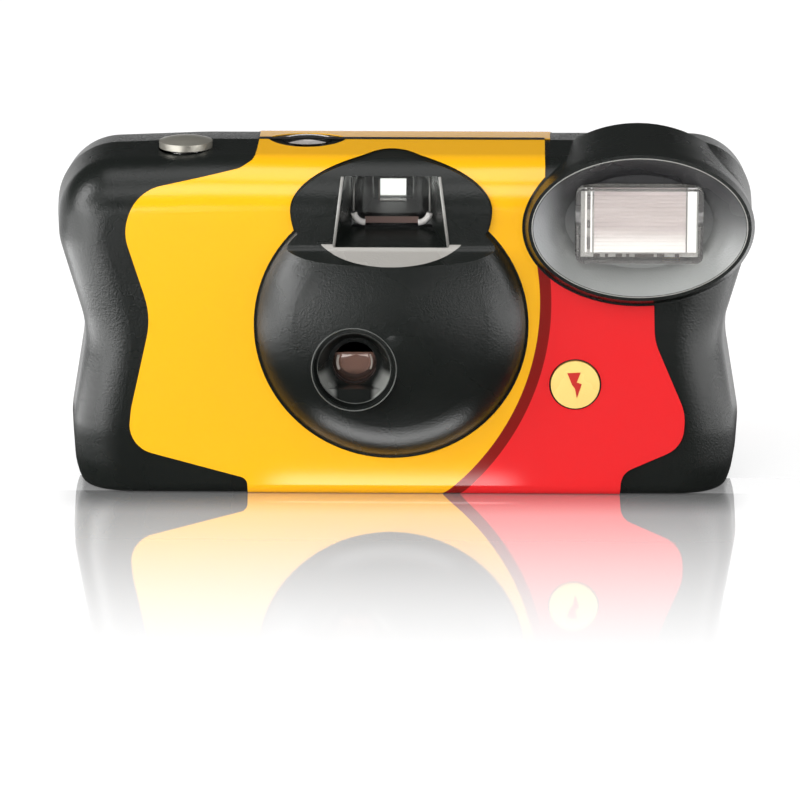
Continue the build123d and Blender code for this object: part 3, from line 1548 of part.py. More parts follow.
def trigger_coil():
    """Upright trigger coil on the board."""
    y = board_back_y + trigger_radius
    half = trigger_length / 2
    body = round_layer(trigger_x, y, trigger_radius, trigger_z - half, trigger_z + half)
    waist = tube(
        trigger_x, y, trigger_radius + part_gap, trigger_radius - part_gap,
        trigger_z - half + resistor_radius, trigger_z + half - resistor_radius)
    return body - waist


def board_components():
    """Transistor and resistors on the board's back."""
    half = transistor_size / 2
    solids = list(block(
        transistor_x - half, transistor_x + half, board_back_y, board_back_y + transistor_depth,
        transistor_z - half, transistor_z + half).solids())
    y = board_back_y + resistor_radius
    for index in range(resistor_count):
        z = resistor_low_z + index * resistor_step
        reach = resistor_length / 2
        solids.extend(rod((resistor_x - reach, y, z), (resistor_x + reach, y, z), resistor_radius).solids())
    return Compound(solids)


def battery():
    """One round cell with its crimped ends and its nub."""
    step = battery_crimp
    section = make_face(Polyline(
        (0, battery_low_z), (battery_radius - step, battery_low_z), (battery_radius, battery_low_z + step),
        (battery_radius, battery_high_z - step), (battery_radius - step, battery_high_z),
        (battery_nub_radius, battery_high_z), (battery_nub_radius, battery_high_z + battery_nub_length),
        (0, battery_high_z + battery_nub_length), close=True))
    return Pos(battery_x, battery_y) * revolve(Plane.XZ * section, Axis.Z)


def contact_plate(z_low, bump_low, bump_high):
    half = contact_width / 2
    plate = block(
        battery_x - half, battery_x + half, battery_y - half, battery_y + half, z_low,
        z_low + contact_thickness)
    return plate + round_layer(battery_x, battery_y, contact_bump_radius, bump_low, bump_high)


def battery_contact_minus():
    """Plate under the cell with a strip that runs forward to the board."""
    z = battery_low_z - 2 * contact_thickness
    plate = contact_plate(z, z + contact_thickness, battery_low_z)
    half = contact_strip_width / 2
    strip = block(
        battery_x - half, battery_x + half, board_back_y, battery_y, z, z + contact_thickness)
    foot = block(
        battery_x - half, battery_x + half, board_back_y, board_back_y + contact_thickness, z,
        z + contact_foot_rise)
    return plate + strip + foot


def battery_contact_plus():
    """Plate over the cell's nub with a strip that drops behind the reflector."""
    z = battery_high_z + battery_nub_length + contact_thickness
    plate = contact_plate(z, z - contact_thickness, z)
    half = contact_strip_width / 2
    gap_y = (reflector_back_y + battery_y - battery_radius) / 2
    low = board_high_z - board_thickness
    strip = block(battery_x - half, battery_x + half, gap_y, battery_y, z, z + contact_thickness)
    drop = block(
        battery_x - half, battery_x + half, gap_y, gap_y + contact_thickness, low, z)
    foot = block(
        battery_x - half, battery_x + half, board_back_y, gap_y + contact_thickness, low,
        low + contact_thickness)
    return plate + strip + drop + foot


button_flange_front_y = inner_front_y + touch_gap
button_flange_back_y = button_flange_front_y + flash_button_flange_thickness
leaf_front_y = board_front_y - leaf_thickness
flash_stem_back_y = leaf_front_y - touch_gap - flash_button_travel


def flash_button():
    """Round flash button with its flange behind the cover."""
    x, z = flash_button_x, flash_button_z
    face_y = front_y - flash_button_proud
    body = round_slab(x, z, flash_button_radius, face_y, button_flange_front_y)
    curve = (flash_button_radius ** 2 + flash_button_crown ** 2) / (2 * flash_button_crown)
    ball = Pos(x, face_y - flash_button_crown + curve, z) * Sphere(curve)
    crown = ball & round_slab(x, z, flash_button_radius, face_y - overrun, face_y)
    flange = round_slab(
        x, z, flash_button_radius + flash_button_flange, button_flange_front_y,
        min(button_flange_back_y, flash_stem_back_y))
    return body + crown + flange


def charge_contact():
    """Leaf on the board that the flash button closes."""
    sketch = Pos(flash_button_x, flash_button_z) * SlotOverall(leaf_length, leaf_width)
    return slab(sketch, leaf_front_y, board_front_y)


def sync_contact():
    """Two leaves beside the blade that fire the flash."""
    left, right = sync_leaf_x, sync_leaf_x + sync_leaf_width
    top = sync_leaf_low_z + sync_leaf_length
    near = block(left, right, bulkhead_y - leaf_thickness, bulkhead_y, sync_leaf_low_z, top)
    far_back = bulkhead_y - leaf_thickness - sync_leaf_gap
    far = block(left, right, far_back - leaf_thickness, far_back, sync_leaf_low_z, top)
    spacer = block(
        left, right, far_back, bulkhead_y - leaf_thickness, sync_leaf_low_z,
        sync_leaf_low_z + sync_leaf_width)
    return near + far + spacer


def ready_light():
    """Lamp and light pipe beside the eyepiece."""
    back = rear_y + ready_proud
    pipe_front = inner_rear_y - ready_lamp_radius
    pipe = round_slab(ready_x, ready_z, ready_radius, pipe_front, back)
    lamp = round_slab(
        ready_x, ready_z, ready_lamp_radius, pipe_front - ready_lamp_length, pipe_front)
    return pipe + lamp


NODES = (
    front_cover, rear_cover, front_label, rear_label, main_frame, viewfinder_front_lens,
    viewfinder_housing, viewfinder_eyepiece, taking_lens, lens_retainer, shutter_housing,
    shutter_blade, blade_spring, aperture_plate, striker_lever, striker_spring, release_lever,
    shutter_button, button_spring, counter_window, counter_wheel, thumb_wheel, cartridge_shell,
    cartridge_end_caps, cartridge_spool, supply_spool, film_roll, film_strip, sprocket_wheel,
    metering_cam, flash_window, flash_reflector, flash_tube, tube_leads, circuit_board, capacitor,
    transformer, trigger_coil, board_components, battery, battery_contact_minus,
    battery_contact_plus, flash_button, charge_contact, sync_contact, ready_light)


def main():
    for make in NODES:
        export_step(make(), f"parts/{make.__name__}.step")


if __name__ == "__main__":
    main()
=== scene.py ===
"""Looks, lights and camera for the single-use film camera. All lengths are metres."""

import math

import bmesh
import bpy
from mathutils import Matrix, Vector


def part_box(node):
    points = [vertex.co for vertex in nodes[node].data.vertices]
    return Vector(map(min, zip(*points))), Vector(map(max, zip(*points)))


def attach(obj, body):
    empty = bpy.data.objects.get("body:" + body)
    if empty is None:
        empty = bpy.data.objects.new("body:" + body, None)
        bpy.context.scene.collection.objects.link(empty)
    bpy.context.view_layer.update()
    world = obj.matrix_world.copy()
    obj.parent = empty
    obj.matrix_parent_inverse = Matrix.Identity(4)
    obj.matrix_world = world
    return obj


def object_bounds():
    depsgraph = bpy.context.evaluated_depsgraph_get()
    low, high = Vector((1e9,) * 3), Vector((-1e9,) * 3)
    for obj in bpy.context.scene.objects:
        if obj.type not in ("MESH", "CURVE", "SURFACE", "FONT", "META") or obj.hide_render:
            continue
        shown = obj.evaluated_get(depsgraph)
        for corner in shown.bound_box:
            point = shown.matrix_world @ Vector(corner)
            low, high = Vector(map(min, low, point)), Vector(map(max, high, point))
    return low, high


MM = 0.001
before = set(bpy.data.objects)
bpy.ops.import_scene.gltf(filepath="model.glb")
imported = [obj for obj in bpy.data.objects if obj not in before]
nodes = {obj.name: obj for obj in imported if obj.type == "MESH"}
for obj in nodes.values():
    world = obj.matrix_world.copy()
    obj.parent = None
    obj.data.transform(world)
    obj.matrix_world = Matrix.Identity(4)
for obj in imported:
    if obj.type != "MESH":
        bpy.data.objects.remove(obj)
cad_low, cad_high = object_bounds()

# The photograph's view
picture_side = 800
sensor = 36.0
view_turn_deg = 1.0
view_rise_deg = 15.0
camera_distance = 0.95
pixels_per_metre = 5932.0
foot_pixel_row = 495.5
centre_pixel_column = 403.0

# Places on the camera, from the boxes of its solids
cover_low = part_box("front_cover")[0]
counter_low, counter_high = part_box("counter_wheel")
board_low, board_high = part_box("circuit_board")
tube_low, tube_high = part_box("flash_tube")
finder_lens_low, finder_lens_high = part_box("viewfinder_front_lens")
eye_low, eye_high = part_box("viewfinder_eyepiece")
button_low, button_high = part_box("flash_button")
flash_button_x = (button_low.x + button_high.x) / 2
flash_button_z = (button_low.z + button_high.z) / 2
window_low, window_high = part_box("flash_window")
flash_x = (window_low.x + window_high.x) / 2
flash_z = (window_low.z + window_high.z) / 2
flash_rim_y = window_low.y - 1.5 * MM
taking_low, taking_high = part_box("taking_lens")
lens_x = (taking_low.x + taking_high.x) / 2
lens_z = (taking_low.z + taking_high.z) / 2
cup_floor_y = taking_low.y - 1.0 * MM
label_low, label_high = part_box("front_label")
rear_label_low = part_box("rear_label")[0]
front_foot_y = label_low.y
head_face_y = label_low.y - 0.6 * MM
seam_y = (label_high.y + rear_label_low.y) / 2

# Places of forms on the front cover, which its box doesn't give
panel_x = -2.0 * MM
ledge_z = 43.0 * MM
mouth_top_z = 55.3 * MM
mouth_low_z = 43.25 * MM
mouth_top_half = 8.1 * MM
mouth_low_half = 9.6 * MM

# The flash window's bright field, inside its clear walls
field_left = window_low.x + 3.8 * MM
field_right = window_high.x - 3.7 * MM
field_low = window_low.z + 2.5 * MM
field_high = window_high.z - 1.5 * MM
field_front = window_low.y + 1.45 * MM

# Colours as the photograph shows them, 0 to 255
BLACK_PLASTIC = (18, 21, 19)
BLACK_PLASTIC_WORN = (26, 29, 27)
INNER_BLACK = (30, 30, 31)
LABEL_YELLOW = (252, 184, 3)
LABEL_RED = (229, 29, 34)
LABEL_STRIPE = (134, 15, 8)
# Painted light, painted shade and a painted sheen in the flash dish
DISH_PAINTED_LIGHT_FOOT = (148, 150, 148)
DISH_PAINTED_SHADE_TOP = (54, 54, 56)
DISH_PAINTED_SHEEN = (176, 178, 180)
# A painted highlight on the finder's ledge
LEDGE_PAINTED_HIGHLIGHT = (164, 161, 156)
# A painted shine on the lens cup's wall
CUP_PAINTED_SHINE = (150, 152, 148)
BUTTON_SILVER = (156, 153, 143)
BUTTON_YELLOW = (250, 213, 124)
SYMBOL_RED = (196, 40, 30)
CLEAR = (247, 249, 246)
SMOKY = (206, 200, 197)
FLASH_CLEAR = (242, 240, 238)
FLASH_PINK = (172, 161, 159)
FLASH_SHADE = (184, 174, 172)
FLASH_BACK = (158, 158, 154)
REFLECTOR = (236, 236, 234)
EDGE_LIGHT = (250, 250, 248)
# Painted dark reflections at the flash window's edges
DARK_REFLECTION_BROWN = (38, 29, 25)
EDGE_ROSE = (112, 92, 86)
# Painted highlights on fine edges: the flash dish's rim, the finder's lips and its front lens
HIGHLIGHT_GREY = (150, 149, 145)
HIGHLIGHT_PALE = (216, 213, 209)
# Painted highlights on the lens cup's rings
BEAD_HIGHLIGHT_GREY = (84, 86, 83)
GLINT_ROSE = (190, 180, 172)
LENS_BROWN = (190, 160, 148)
STEEL = (190, 190, 188)
SOLDER = (176, 178, 180)
CAN_GREY = (92, 95, 98)
FILM_BROWN = (92, 60, 44)
BOARD_GREEN = (84, 98, 52)
BRASS_GOLD = (206, 178, 108)
COPPER_TAPE = (186, 142, 60)
WHITE_PLASTIC = (226, 224, 216)
PRINT_BLACK = (24, 24, 26)


def light_value(part):
    """One colour part from 0 to 255 as the amount of light that it stands for."""
    share = part / 255
    return share / 12.92 if share <= 0.04045 else ((share + 0.055) / 1.055) ** 2.4


def colour(parts):
    """A colour of three parts from 0 to 255, as a shader socket takes it."""
    return (*(light_value(part) for part in parts), 1.0)


# Helpers for shader trees

# Mix nodes name their colour sockets like their number sockets, so these are the places of the colour ones
MIX_A, MIX_B, MIX_RESULT = 6, 7, 2


def math_node(tree, operation, first, second=None):
    """A math node whose inputs are numbers or sockets; gives its output."""
    node = tree.nodes.new("ShaderNodeMath")
    node.operation = operation
    for socket, value in zip(node.inputs, (first, second)):
        if value is None:
            continue
        if isinstance(value, (int, float)):
            socket.default_value = value
        else:
            tree.links.new(value, socket)
    return node.outputs[0]


def times(tree, first, second):
    """The product of two values."""
    return math_node(tree, "MULTIPLY", first, second)


def plus(tree, first, second):
    """The sum of two values."""
    return math_node(tree, "ADD", first, second)


def minus(tree, first, second):
    """The first value less the second."""
    return math_node(tree, "SUBTRACT", first, second)


def squared_reach(tree, across, up):
    """The square of a point's distance from a centre."""
    return plus(tree, times(tree, across, across), times(tree, up, up))


def spread(tree, value, low, high, to_low=0.0, to_high=1.0, soft=True):
    """Stretches a value between two limits, softly or evenly."""
    node = tree.nodes.new("ShaderNodeMapRange")
    node.interpolation_type = "SMOOTHSTEP" if soft else "LINEAR"
    tree.links.new(value, node.inputs["Value"])
    node.inputs["From Min"].default_value = low
    node.inputs["From Max"].default_value = high
    node.inputs["To Min"].default_value = to_low
    node.inputs["To Max"].default_value = to_high
    return node.outputs[0]


def band(tree, value, rise_from, rise_to, fall_from, fall_to):
    """1 between two soft ends and 0 outside them."""
    rising = spread(tree, value, rise_from, rise_to)
    falling = spread(tree, value, fall_from, fall_to, 1.0, 0.0)
    return times(tree, rising, falling)


def place_parts(tree):
    """The X, Y and Z of the point on the camera, in its own frame."""
    place = tree.nodes.new("ShaderNodeTexCoord")
    split = tree.nodes.new("ShaderNodeSeparateXYZ")
    tree.links.new(place.outputs["Object"], split.inputs[0])
    return split.outputs[0], split.outputs[1], split.outputs[2]


def noise(tree, scale, detail):
    """Cloudy noise over the camera, from 0 to 1; the scale is a socket."""
    place = tree.nodes.new("ShaderNodeTexCoord")
    node = tree.nodes.new("ShaderNodeTexNoise")
    node.inputs["Detail"].default_value = detail
    tree.links.new(place.outputs["Object"], node.inputs["Vector"])
    tree.links.new(scale, node.inputs["Scale"])
    return node.outputs["Fac"]


def blend_colours(tree, share, first, second):
    """Mixes two colours, each a socket or four numbers."""
    node = tree.nodes.new("ShaderNodeMix")
    node.data_type = "RGBA"
    tree.links.new(share, node.inputs[0])
    for value, index in ((first, MIX_A), (second, MIX_B)):
        if isinstance(value, tuple):
            node.inputs[index].default_value = value
        else:
            tree.links.new(value, node.inputs[index])
    return node.outputs[MIX_RESULT]


def mix_shaders(tree, share, first, second):
    """Mixes two shaders by a socket or a number."""
    both = tree.nodes.new("ShaderNodeMixShader")
    if isinstance(share, float):
        both.inputs[0].default_value = share
    else:
        tree.links.new(share, both.inputs[0])
    tree.links.new(first, both.inputs[1])
    tree.links.new(second, both.inputs[2])
    return both.outputs[0]


# Shared surface effects


def new_group(name, inputs, outputs):
    """An empty shader group with named sockets."""
    group = bpy.data.node_groups.new(name, "ShaderNodeTree")
    for socket, kind, value in inputs:
        made = group.interface.new_socket(socket, in_out="INPUT", socket_type=kind)
        made.default_value = value
    for socket, kind in outputs:
        group.interface.new_socket(socket, in_out="OUTPUT", socket_type=kind)
    start = group.nodes.new("NodeGroupInput")
    end = group.nodes.new("NodeGroupOutput")
    return group, start, end


def use_group(tree, group, **values):
    """Places a shared effect in a material, with its own numbers and colours."""
    node = tree.nodes.new("ShaderNodeGroup")
    node.node_tree = group
    for name, value in values.items():
        node.inputs[name.replace("_", " ")].default_value = value
    return node


def make_grain():
    """Fine moulded grain, as a height."""
    group, start, end = new_group(
        "moulded grain", [("Scale", "NodeSocketFloat", 2500.0), ("Depth", "NodeSocketFloat", 1.0)],
        [("Height", "NodeSocketFloat")])
    grain = noise(group, start.outputs["Scale"], detail=3.0)
    group.links.new(times(group, grain, start.outputs["Depth"]), end.inputs["Height"])
    return group


# The stretch of the cloudy noise that goes from the smoothest to the roughest spots
PATCH_LOW, PATCH_HIGH = 0.35, 0.65


def make_handling():
    """Gloss that changes softly where the plastic has been handled."""
    group, start, end = new_group(
        "handled gloss",
        [("Scale", "NodeSocketFloat", 60.0), ("Smooth", "NodeSocketFloat", 0.3),
         ("Rough", "NodeSocketFloat", 0.4)],
        [("Roughness", "NodeSocketFloat"), ("Mask", "NodeSocketFloat")])
    patches = noise(group, start.outputs["Scale"], detail=4.0)
    levels = group.nodes.new("ShaderNodeMapRange")
    levels.inputs["From Min"].default_value = PATCH_LOW
    levels.inputs["From Max"].default_value = PATCH_HIGH
    group.links.new(patches, levels.inputs["Value"])
    group.links.new(start.outputs["Smooth"], levels.inputs["To Min"])
    group.links.new(start.outputs["Rough"], levels.inputs["To Max"])
    group.links.new(levels.outputs[0], end.inputs["Roughness"])
    group.links.new(patches, end.inputs["Mask"])
    return group


def make_fields():
    """The label's plain fields: yellow inside a wide arc, a dark stripe along it and red outside."""
    group, start, end = new_group(
        "label fields",
        [("Inside", "NodeSocketColor", colour(LABEL_YELLOW)),
         ("Stripe", "NodeSocketColor", colour(LABEL_STRIPE)),
         ("Outside", "NodeSocketColor", colour(LABEL_RED)),
         ("Centre X", "NodeSocketFloat", 0.0), ("Centre Z", "NodeSocketFloat", 0.0),
         ("Radius", "NodeSocketFloat", 0.0), ("Width", "NodeSocketFloat", 0.0),
         ("Top", "NodeSocketFloat", 0.0)],
        [("Color", "NodeSocketColor")])
    x, _, z = place_parts(group)
    across = minus(group, x, start.outputs["Centre X"])
    up = minus(group, z, start.outputs["Centre Z"])
    reach = math_node(group, "SQRT", squared_reach(group, across, up))
    below_top = math_node(group, "LESS_THAN", z, start.outputs["Top"])
    stripe_end = plus(group, start.outputs["Radius"], start.outputs["Width"])
    past_arc = times(group, math_node(group, "GREATER_THAN", reach, start.outputs["Radius"]), below_top)
    past_stripe = times(group, math_node(group, "GREATER_THAN", reach, stripe_end), below_top)
    striped = blend_colours(group, past_arc, start.outputs["Inside"], start.outputs["Stripe"])
    done = blend_colours(group, past_stripe, striped, start.outputs["Outside"])
    group.links.new(done, end.inputs["Color"])
    return group


def make_oval_mask():
    """1 inside an oval of the front, between two depths."""
    group, start, end = new_group(
        "oval recess",
        [("Centre X", "NodeSocketFloat", 0.0), ("Centre Z", "NodeSocketFloat", 0.0),
         ("Half width", "NodeSocketFloat", 1.0), ("Half height", "NodeSocketFloat", 1.0),
         ("Front", "NodeSocketFloat", 0.0), ("Back", "NodeSocketFloat", 0.0)],
        [("Mask", "NodeSocketFloat"), ("Across", "NodeSocketFloat"), ("Up", "NodeSocketFloat")])
    x, y, z = place_parts(group)
    off_x = minus(group, x, start.outputs["Centre X"])
    off_z = minus(group, z, start.outputs["Centre Z"])
    across = math_node(group, "DIVIDE", off_x, start.outputs["Half width"])
    up = math_node(group, "DIVIDE", off_z, start.outputs["Half height"])
    inside = math_node(group, "LESS_THAN", squared_reach(group, across, up), 1.0)
    behind = math_node(group, "GREATER_THAN", y, start.outputs["Front"])
    before = math_node(group, "LESS_THAN", y, start.outputs["Back"])
    mask = times(group, inside, times(group, behind, before))
    group.links.new(mask, end.inputs["Mask"])
    group.links.new(across, end.inputs["Across"])
    group.links.new(up, end.inputs["Up"])
    return group


grain_group = make_grain()
handling_group = make_handling()
fields_group = make_fields()
oval_group = make_oval_mask()


# Finishes

GRAIN_DEPTH = 0.07 * MM


def surface(name, base, smooth, rough, grain_scale=2500.0, grain=0.5, **constants):
    """A finish with grain and a gloss between smooth and rough; constants go to the shader's own sockets."""
    made = bpy.data.materials.new(name)
    made.use_nodes = True
    tree = made.node_tree
    shader = tree.nodes["Principled BSDF"]
    shader.inputs["Base Color"].default_value = colour(base)
    for socket, value in constants.items():
        shader.inputs[socket.replace("_", " ")].default_value = value
    handled = use_group(tree, handling_group, Smooth=smooth, Rough=rough)
    tree.links.new(handled.outputs["Roughness"], shader.inputs["Roughness"])
    if grain:
        texture = use_group(tree, grain_group, Scale=grain_scale, Depth=grain)
        bump = tree.nodes.new("ShaderNodeBump")
        bump.inputs["Distance"].default_value = GRAIN_DEPTH
        tree.links.new(texture.outputs["Height"], bump.inputs["Height"])
        tree.links.new(bump.outputs["Normal"], shader.inputs["Normal"])
    return made, tree, shader, handled


def plain(name, base, smooth, rough, **more):
    """A finish of one colour."""
    return surface(name, base, smooth, rough, **more)[0]


def clear(name, base, smooth, rough, shade, **more):
    """Clear plastic or glass whose shadow is only a light tint."""
    made, tree, shader, _ = surface(name, base, smooth, rough, grain=0, **more)
    path = tree.nodes.new("ShaderNodeLightPath")
    through = tree.nodes.new("ShaderNodeBsdfTransparent")
    through.inputs["Color"].default_value = (shade, shade, shade, 1)
    both = mix_shaders(tree, path.outputs["Is Shadow Ray"], shader.outputs[0], through.outputs[0])
    tree.links.new(both, tree.nodes["Material Output"].inputs["Surface"])
    return made


# The flash dish's oval of painted light and shade; the heights and sides are shares of its half height and
# half width
DISH_HALF_WIDTH = 17.85 * MM
DISH_HALF_HEIGHT = 11.75 * MM
DISH_RIM_EDGE = 0.03 * MM
DISH_DEPTH = 8 * MM
DISH_FOOT, DISH_SHOULDER = -1.0, 0.72
DISH_PAINTED_SHEEN_FROM, DISH_PAINTED_SHEEN_TO = -0.98, -0.68
DISH_PAINTED_SHEEN_SHARE = 0.6


def paint_dish(tree, under):
    """The flash dish with painted light and shade: pale at its foot as painted light, dark at its top as
    painted shade, and a brighter painted sheen along its left side.
    """
    dish = use_group(
        tree, oval_group, Centre_X=flash_x, Centre_Z=flash_z, Half_width=DISH_HALF_WIDTH,
        Half_height=DISH_HALF_HEIGHT, Front=flash_rim_y + DISH_RIM_EDGE, Back=flash_rim_y + DISH_DEPTH)
    height = spread(tree, dish.outputs["Up"], DISH_FOOT, DISH_SHOULDER)
    painted_slope_shade = blend_colours(tree, height, colour(DISH_PAINTED_LIGHT_FOOT), colour(DISH_PAINTED_SHADE_TOP))
    left_side = spread(tree, dish.outputs["Across"], DISH_PAINTED_SHEEN_FROM, DISH_PAINTED_SHEEN_TO, 1.0, 0.0)
    with_painted_sheen = blend_colours(tree, times(tree, left_side, DISH_PAINTED_SHEEN_SHARE), painted_slope_shade, colour(DISH_PAINTED_SHEEN))
    return blend_colours(tree, dish.outputs["Mask"], under, with_painted_sheen)


# The painted highlight on the ledge under the finder's mouth
LEDGE_RISE = 1.3 * MM
LEDGE_HALF_WIDTH = 11.9 * MM
LEDGE_HALF_HEIGHT = 3.2 * MM
LEDGE_STEP = 0.05 * MM


def paint_ledge(tree, under):
    """A painted highlight: the pale ledge under the finder's mouth."""
    ledge = use_group(
        tree, oval_group, Centre_X=panel_x, Centre_Z=ledge_z + LEDGE_RISE, Half_width=LEDGE_HALF_WIDTH,
        Half_height=LEDGE_HALF_HEIGHT, Front=cover_low.y, Back=head_face_y - LEDGE_STEP)
    return blend_colours(tree, ledge.outputs["Mask"], under, colour(LEDGE_PAINTED_HIGHLIGHT))


# The painted shine on the lens cup's wall; from and to as shares of the cup's radius, the first pair squared
CUP_RADIUS = 6.1 * MM
CUP_FLOOR_GAP = 0.1 * MM
CUP_WALL_OUT = (0.42, 0.74)
CUP_WALL_DOWN = (0.04, 0.30)
CUP_WALL_ASIDE = (0.44, 0.60)
CUP_PAINTED_SHINE_SHARE = 0.6


def paint_cup(tree, under):
    """The painted shine on the lens cup's wall, low on its left and right."""
    cup = use_group(
        tree, oval_group, Centre_X=lens_x, Centre_Z=lens_z, Half_width=CUP_RADIUS, Half_height=CUP_RADIUS,
        Front=cover_low.y, Back=cup_floor_y + CUP_FLOOR_GAP)
    aside = math_node(tree, "ABSOLUTE", cup.outputs["Across"])
    down = times(tree, cup.outputs["Up"], -1.0)
    outer = spread(tree, squared_reach(tree, aside, down), *CUP_WALL_OUT)
    low = spread(tree, down, *CUP_WALL_DOWN)
    wall = times(tree, times(tree, outer, low), spread(tree, aside, *CUP_WALL_ASIDE))
    shine = times(tree, times(tree, wall, cup.outputs["Mask"]), CUP_PAINTED_SHINE_SHARE)
    return blend_colours(tree, shine, under, colour(CUP_PAINTED_SHINE))


def make_black_case():
    """Satin black moulding with the flash dish's painted light and shade, the finder ledge's pale painted
    highlight and the lens cup's painted shine.
    """
    made, tree, shader, handled = surface(
        "black case", BLACK_PLASTIC, smooth=0.24, rough=0.31, grain=0.8, grain_scale=3000.0,
        Specular_IOR_Level=0.4)
    worn = blend_colours(tree, handled.outputs["Mask"], colour(BLACK_PLASTIC), colour(BLACK_PLASTIC_WORN))
    painted = paint_cup(tree, paint_ledge(tree, paint_dish(tree, worn)))
    tree.links.new(painted, shader.inputs["Base Color"])
    return made


# The arc that parts the label's yellow from its red, and the height where the red ends
ARC_CENTRE_X = -19.37 * MM
ARC_CENTRE_Z = 33.44 * MM
ARC_RADIUS = 42.35 * MM
STRIPE_WIDTH = 1.9 * MM
FIELDS_TOP = 46.0 * MM


def make_label():
    """Printed label with its arc of colour."""
    made, tree, shader, _ = surface(
        "printed label", LABEL_YELLOW, smooth=0.2, rough=0.26, grain=0.1, grain_scale=900.0,
        Specular_IOR_Level=0.3, Coat_Weight=1.0, Coat_Roughness=0.22)
    fields = use_group(
        tree, fields_group, Inside=colour(LABEL_YELLOW), Stripe=colour(LABEL_STRIPE),
        Outside=colour(LABEL_RED), Centre_X=ARC_CENTRE_X, Centre_Z=ARC_CENTRE_Z, Radius=ARC_RADIUS,
        Width=STRIPE_WIDTH, Top=FIELDS_TOP)
    tree.links.new(fields.outputs["Color"], shader.inputs["Base Color"])
    return made


# The flash field's streaks: how many fit in a metre, and the stretch of noise that they show
STREAKS_ACROSS = 40.0
STREAKS_UP = 900.0
STREAK_FROM, STREAK_TO = 0.35, 0.62

# The lighter foot of the flash field, as heights above the window's lower edge
FIELD_LIGHT_LOW = 3 * MM
FIELD_LIGHT_HIGH = 7 * MM
FIELD_LIGHT_SHARE = 0.7


def make_streaked():
    """The flash field: milky pink with faint level streaks, brighter at its foot."""
    made, tree, shader, _ = surface("flash ribs", FLASH_PINK, smooth=0.2, rough=0.3, grain=0)
    x, _, z = place_parts(tree)
    streak = tree.nodes.new("ShaderNodeCombineXYZ")
    tree.links.new(times(tree, x, STREAKS_ACROSS), streak.inputs[0])
    tree.links.new(times(tree, z, STREAKS_UP), streak.inputs[2])
    waves = tree.nodes.new("ShaderNodeTexNoise")
    waves.inputs["Scale"].default_value = 1.0
    tree.links.new(streak.outputs[0], waves.inputs["Vector"])
    streaks = spread(tree, waves.outputs["Fac"], STREAK_FROM, STREAK_TO)
    lit = blend_colours(tree, streaks, colour(FLASH_SHADE), colour(FLASH_PINK))
    foot = spread(
        tree, z, window_low.z + FIELD_LIGHT_LOW, window_low.z + FIELD_LIGHT_HIGH, FIELD_LIGHT_SHARE, 0.0)
    tree.links.new(blend_colours(tree, foot, lit, colour(EDGE_LIGHT)), shader.inputs["Base Color"])
    return made


black_case = make_black_case()
printed_label = make_label()
inner_black = plain("inner black", INNER_BLACK, smooth=0.45, rough=0.6)
silver_button = plain("silver button", BUTTON_SILVER, smooth=0.25, rough=0.35, Metallic=0.55)
clear_plastic = clear(
    "clear plastic", CLEAR, smooth=0.02, rough=0.05, shade=0.9, Transmission_Weight=1.0, IOR=1.49)
flash_clear = clear(
    "flash clear", FLASH_CLEAR, smooth=0.02, rough=0.05, shade=0.92, Transmission_Weight=0.9, IOR=1.3)
flash_ribbed = make_streaked()
flash_back = plain("flash backing", FLASH_BACK, smooth=0.3, rough=0.4, grain=0)
smoky_clear = clear(
    "smoky clear", SMOKY, smooth=0.02, rough=0.05, shade=0.75, Transmission_Weight=1.0, IOR=1.49)
# Painted highlights on the flash window's clear side walls
edge_highlight = plain("edge highlight", EDGE_LIGHT, smooth=0.2, rough=0.3, grain=0)
# Painted dark reflections along the flash window's edges
dark_reflection = plain("painted dark reflection", DARK_REFLECTION_BROWN, smooth=0.3, rough=0.4, grain=0)
lens_clear = clear(
    "tinted lens", LENS_BROWN, smooth=0.02, rough=0.04, shade=0.8, Transmission_Weight=0.9, IOR=1.49,
    Coat_Weight=1.0)
white_plastic = plain("white plastic", WHITE_PLASTIC, smooth=0.35, rough=0.5)
yellow_button = plain("yellow button", BUTTON_YELLOW, smooth=0.2, rough=0.3)
symbol_red = plain("symbol red", SYMBOL_RED, smooth=0.3, rough=0.4)
print_black = plain("print black", PRINT_BLACK, smooth=0.4, rough=0.5)
spring_steel = plain("spring steel", STEEL, smooth=0.2, rough=0.3, Metallic=1.0)
mirror_metal = plain("reflector metal", REFLECTOR, smooth=0.12, rough=0.2, grain=0, Metallic=1.0)
can_metal = plain("can metal", CAN_GREY, smooth=0.25, rough=0.35, Metallic=0.6)
film_brown = plain("film", FILM_BROWN, smooth=0.12, rough=0.2, grain=0)
board_green = plain("board", BOARD_GREEN, smooth=0.4, rough=0.5)
cell_sleeve = plain("cell sleeve", PRINT_BLACK, smooth=0.2, rough=0.3)
brass_strip = plain("brass strip", BRASS_GOLD, smooth=0.25, rough=0.35, Metallic=1.0)
# Painted highlights on fine edges
highlight_grey = plain("highlight grey", HIGHLIGHT_GREY, smooth=0.25, rough=0.35)
highlight_pale = plain("highlight pale", HIGHLIGHT_PALE, smooth=0.15, rough=0.25, grain=0)
# Painted highlights on the lens cup's rings
bead_highlight = plain("bead highlight", BEAD_HIGHLIGHT_GREY, smooth=0.25, rough=0.35)
glint_rose = plain("lens glint", GLINT_ROSE, smooth=0.15, rough=0.2, grain=0)
edge_rose = plain("lens brown", EDGE_ROSE, smooth=0.2, rough=0.3, grain=0)
winding_tape = plain("winding tape", COPPER_TAPE, smooth=0.3, rough=0.4)
tube_glass = clear(
    "tube glass", CLEAR, smooth=0.02, rough=0.04, shade=0.9, Transmission_Weight=0.8, IOR=1.47)
solder = plain("solder", SOLDER, smooth=0.25, rough=0.35, Metallic=1.0)

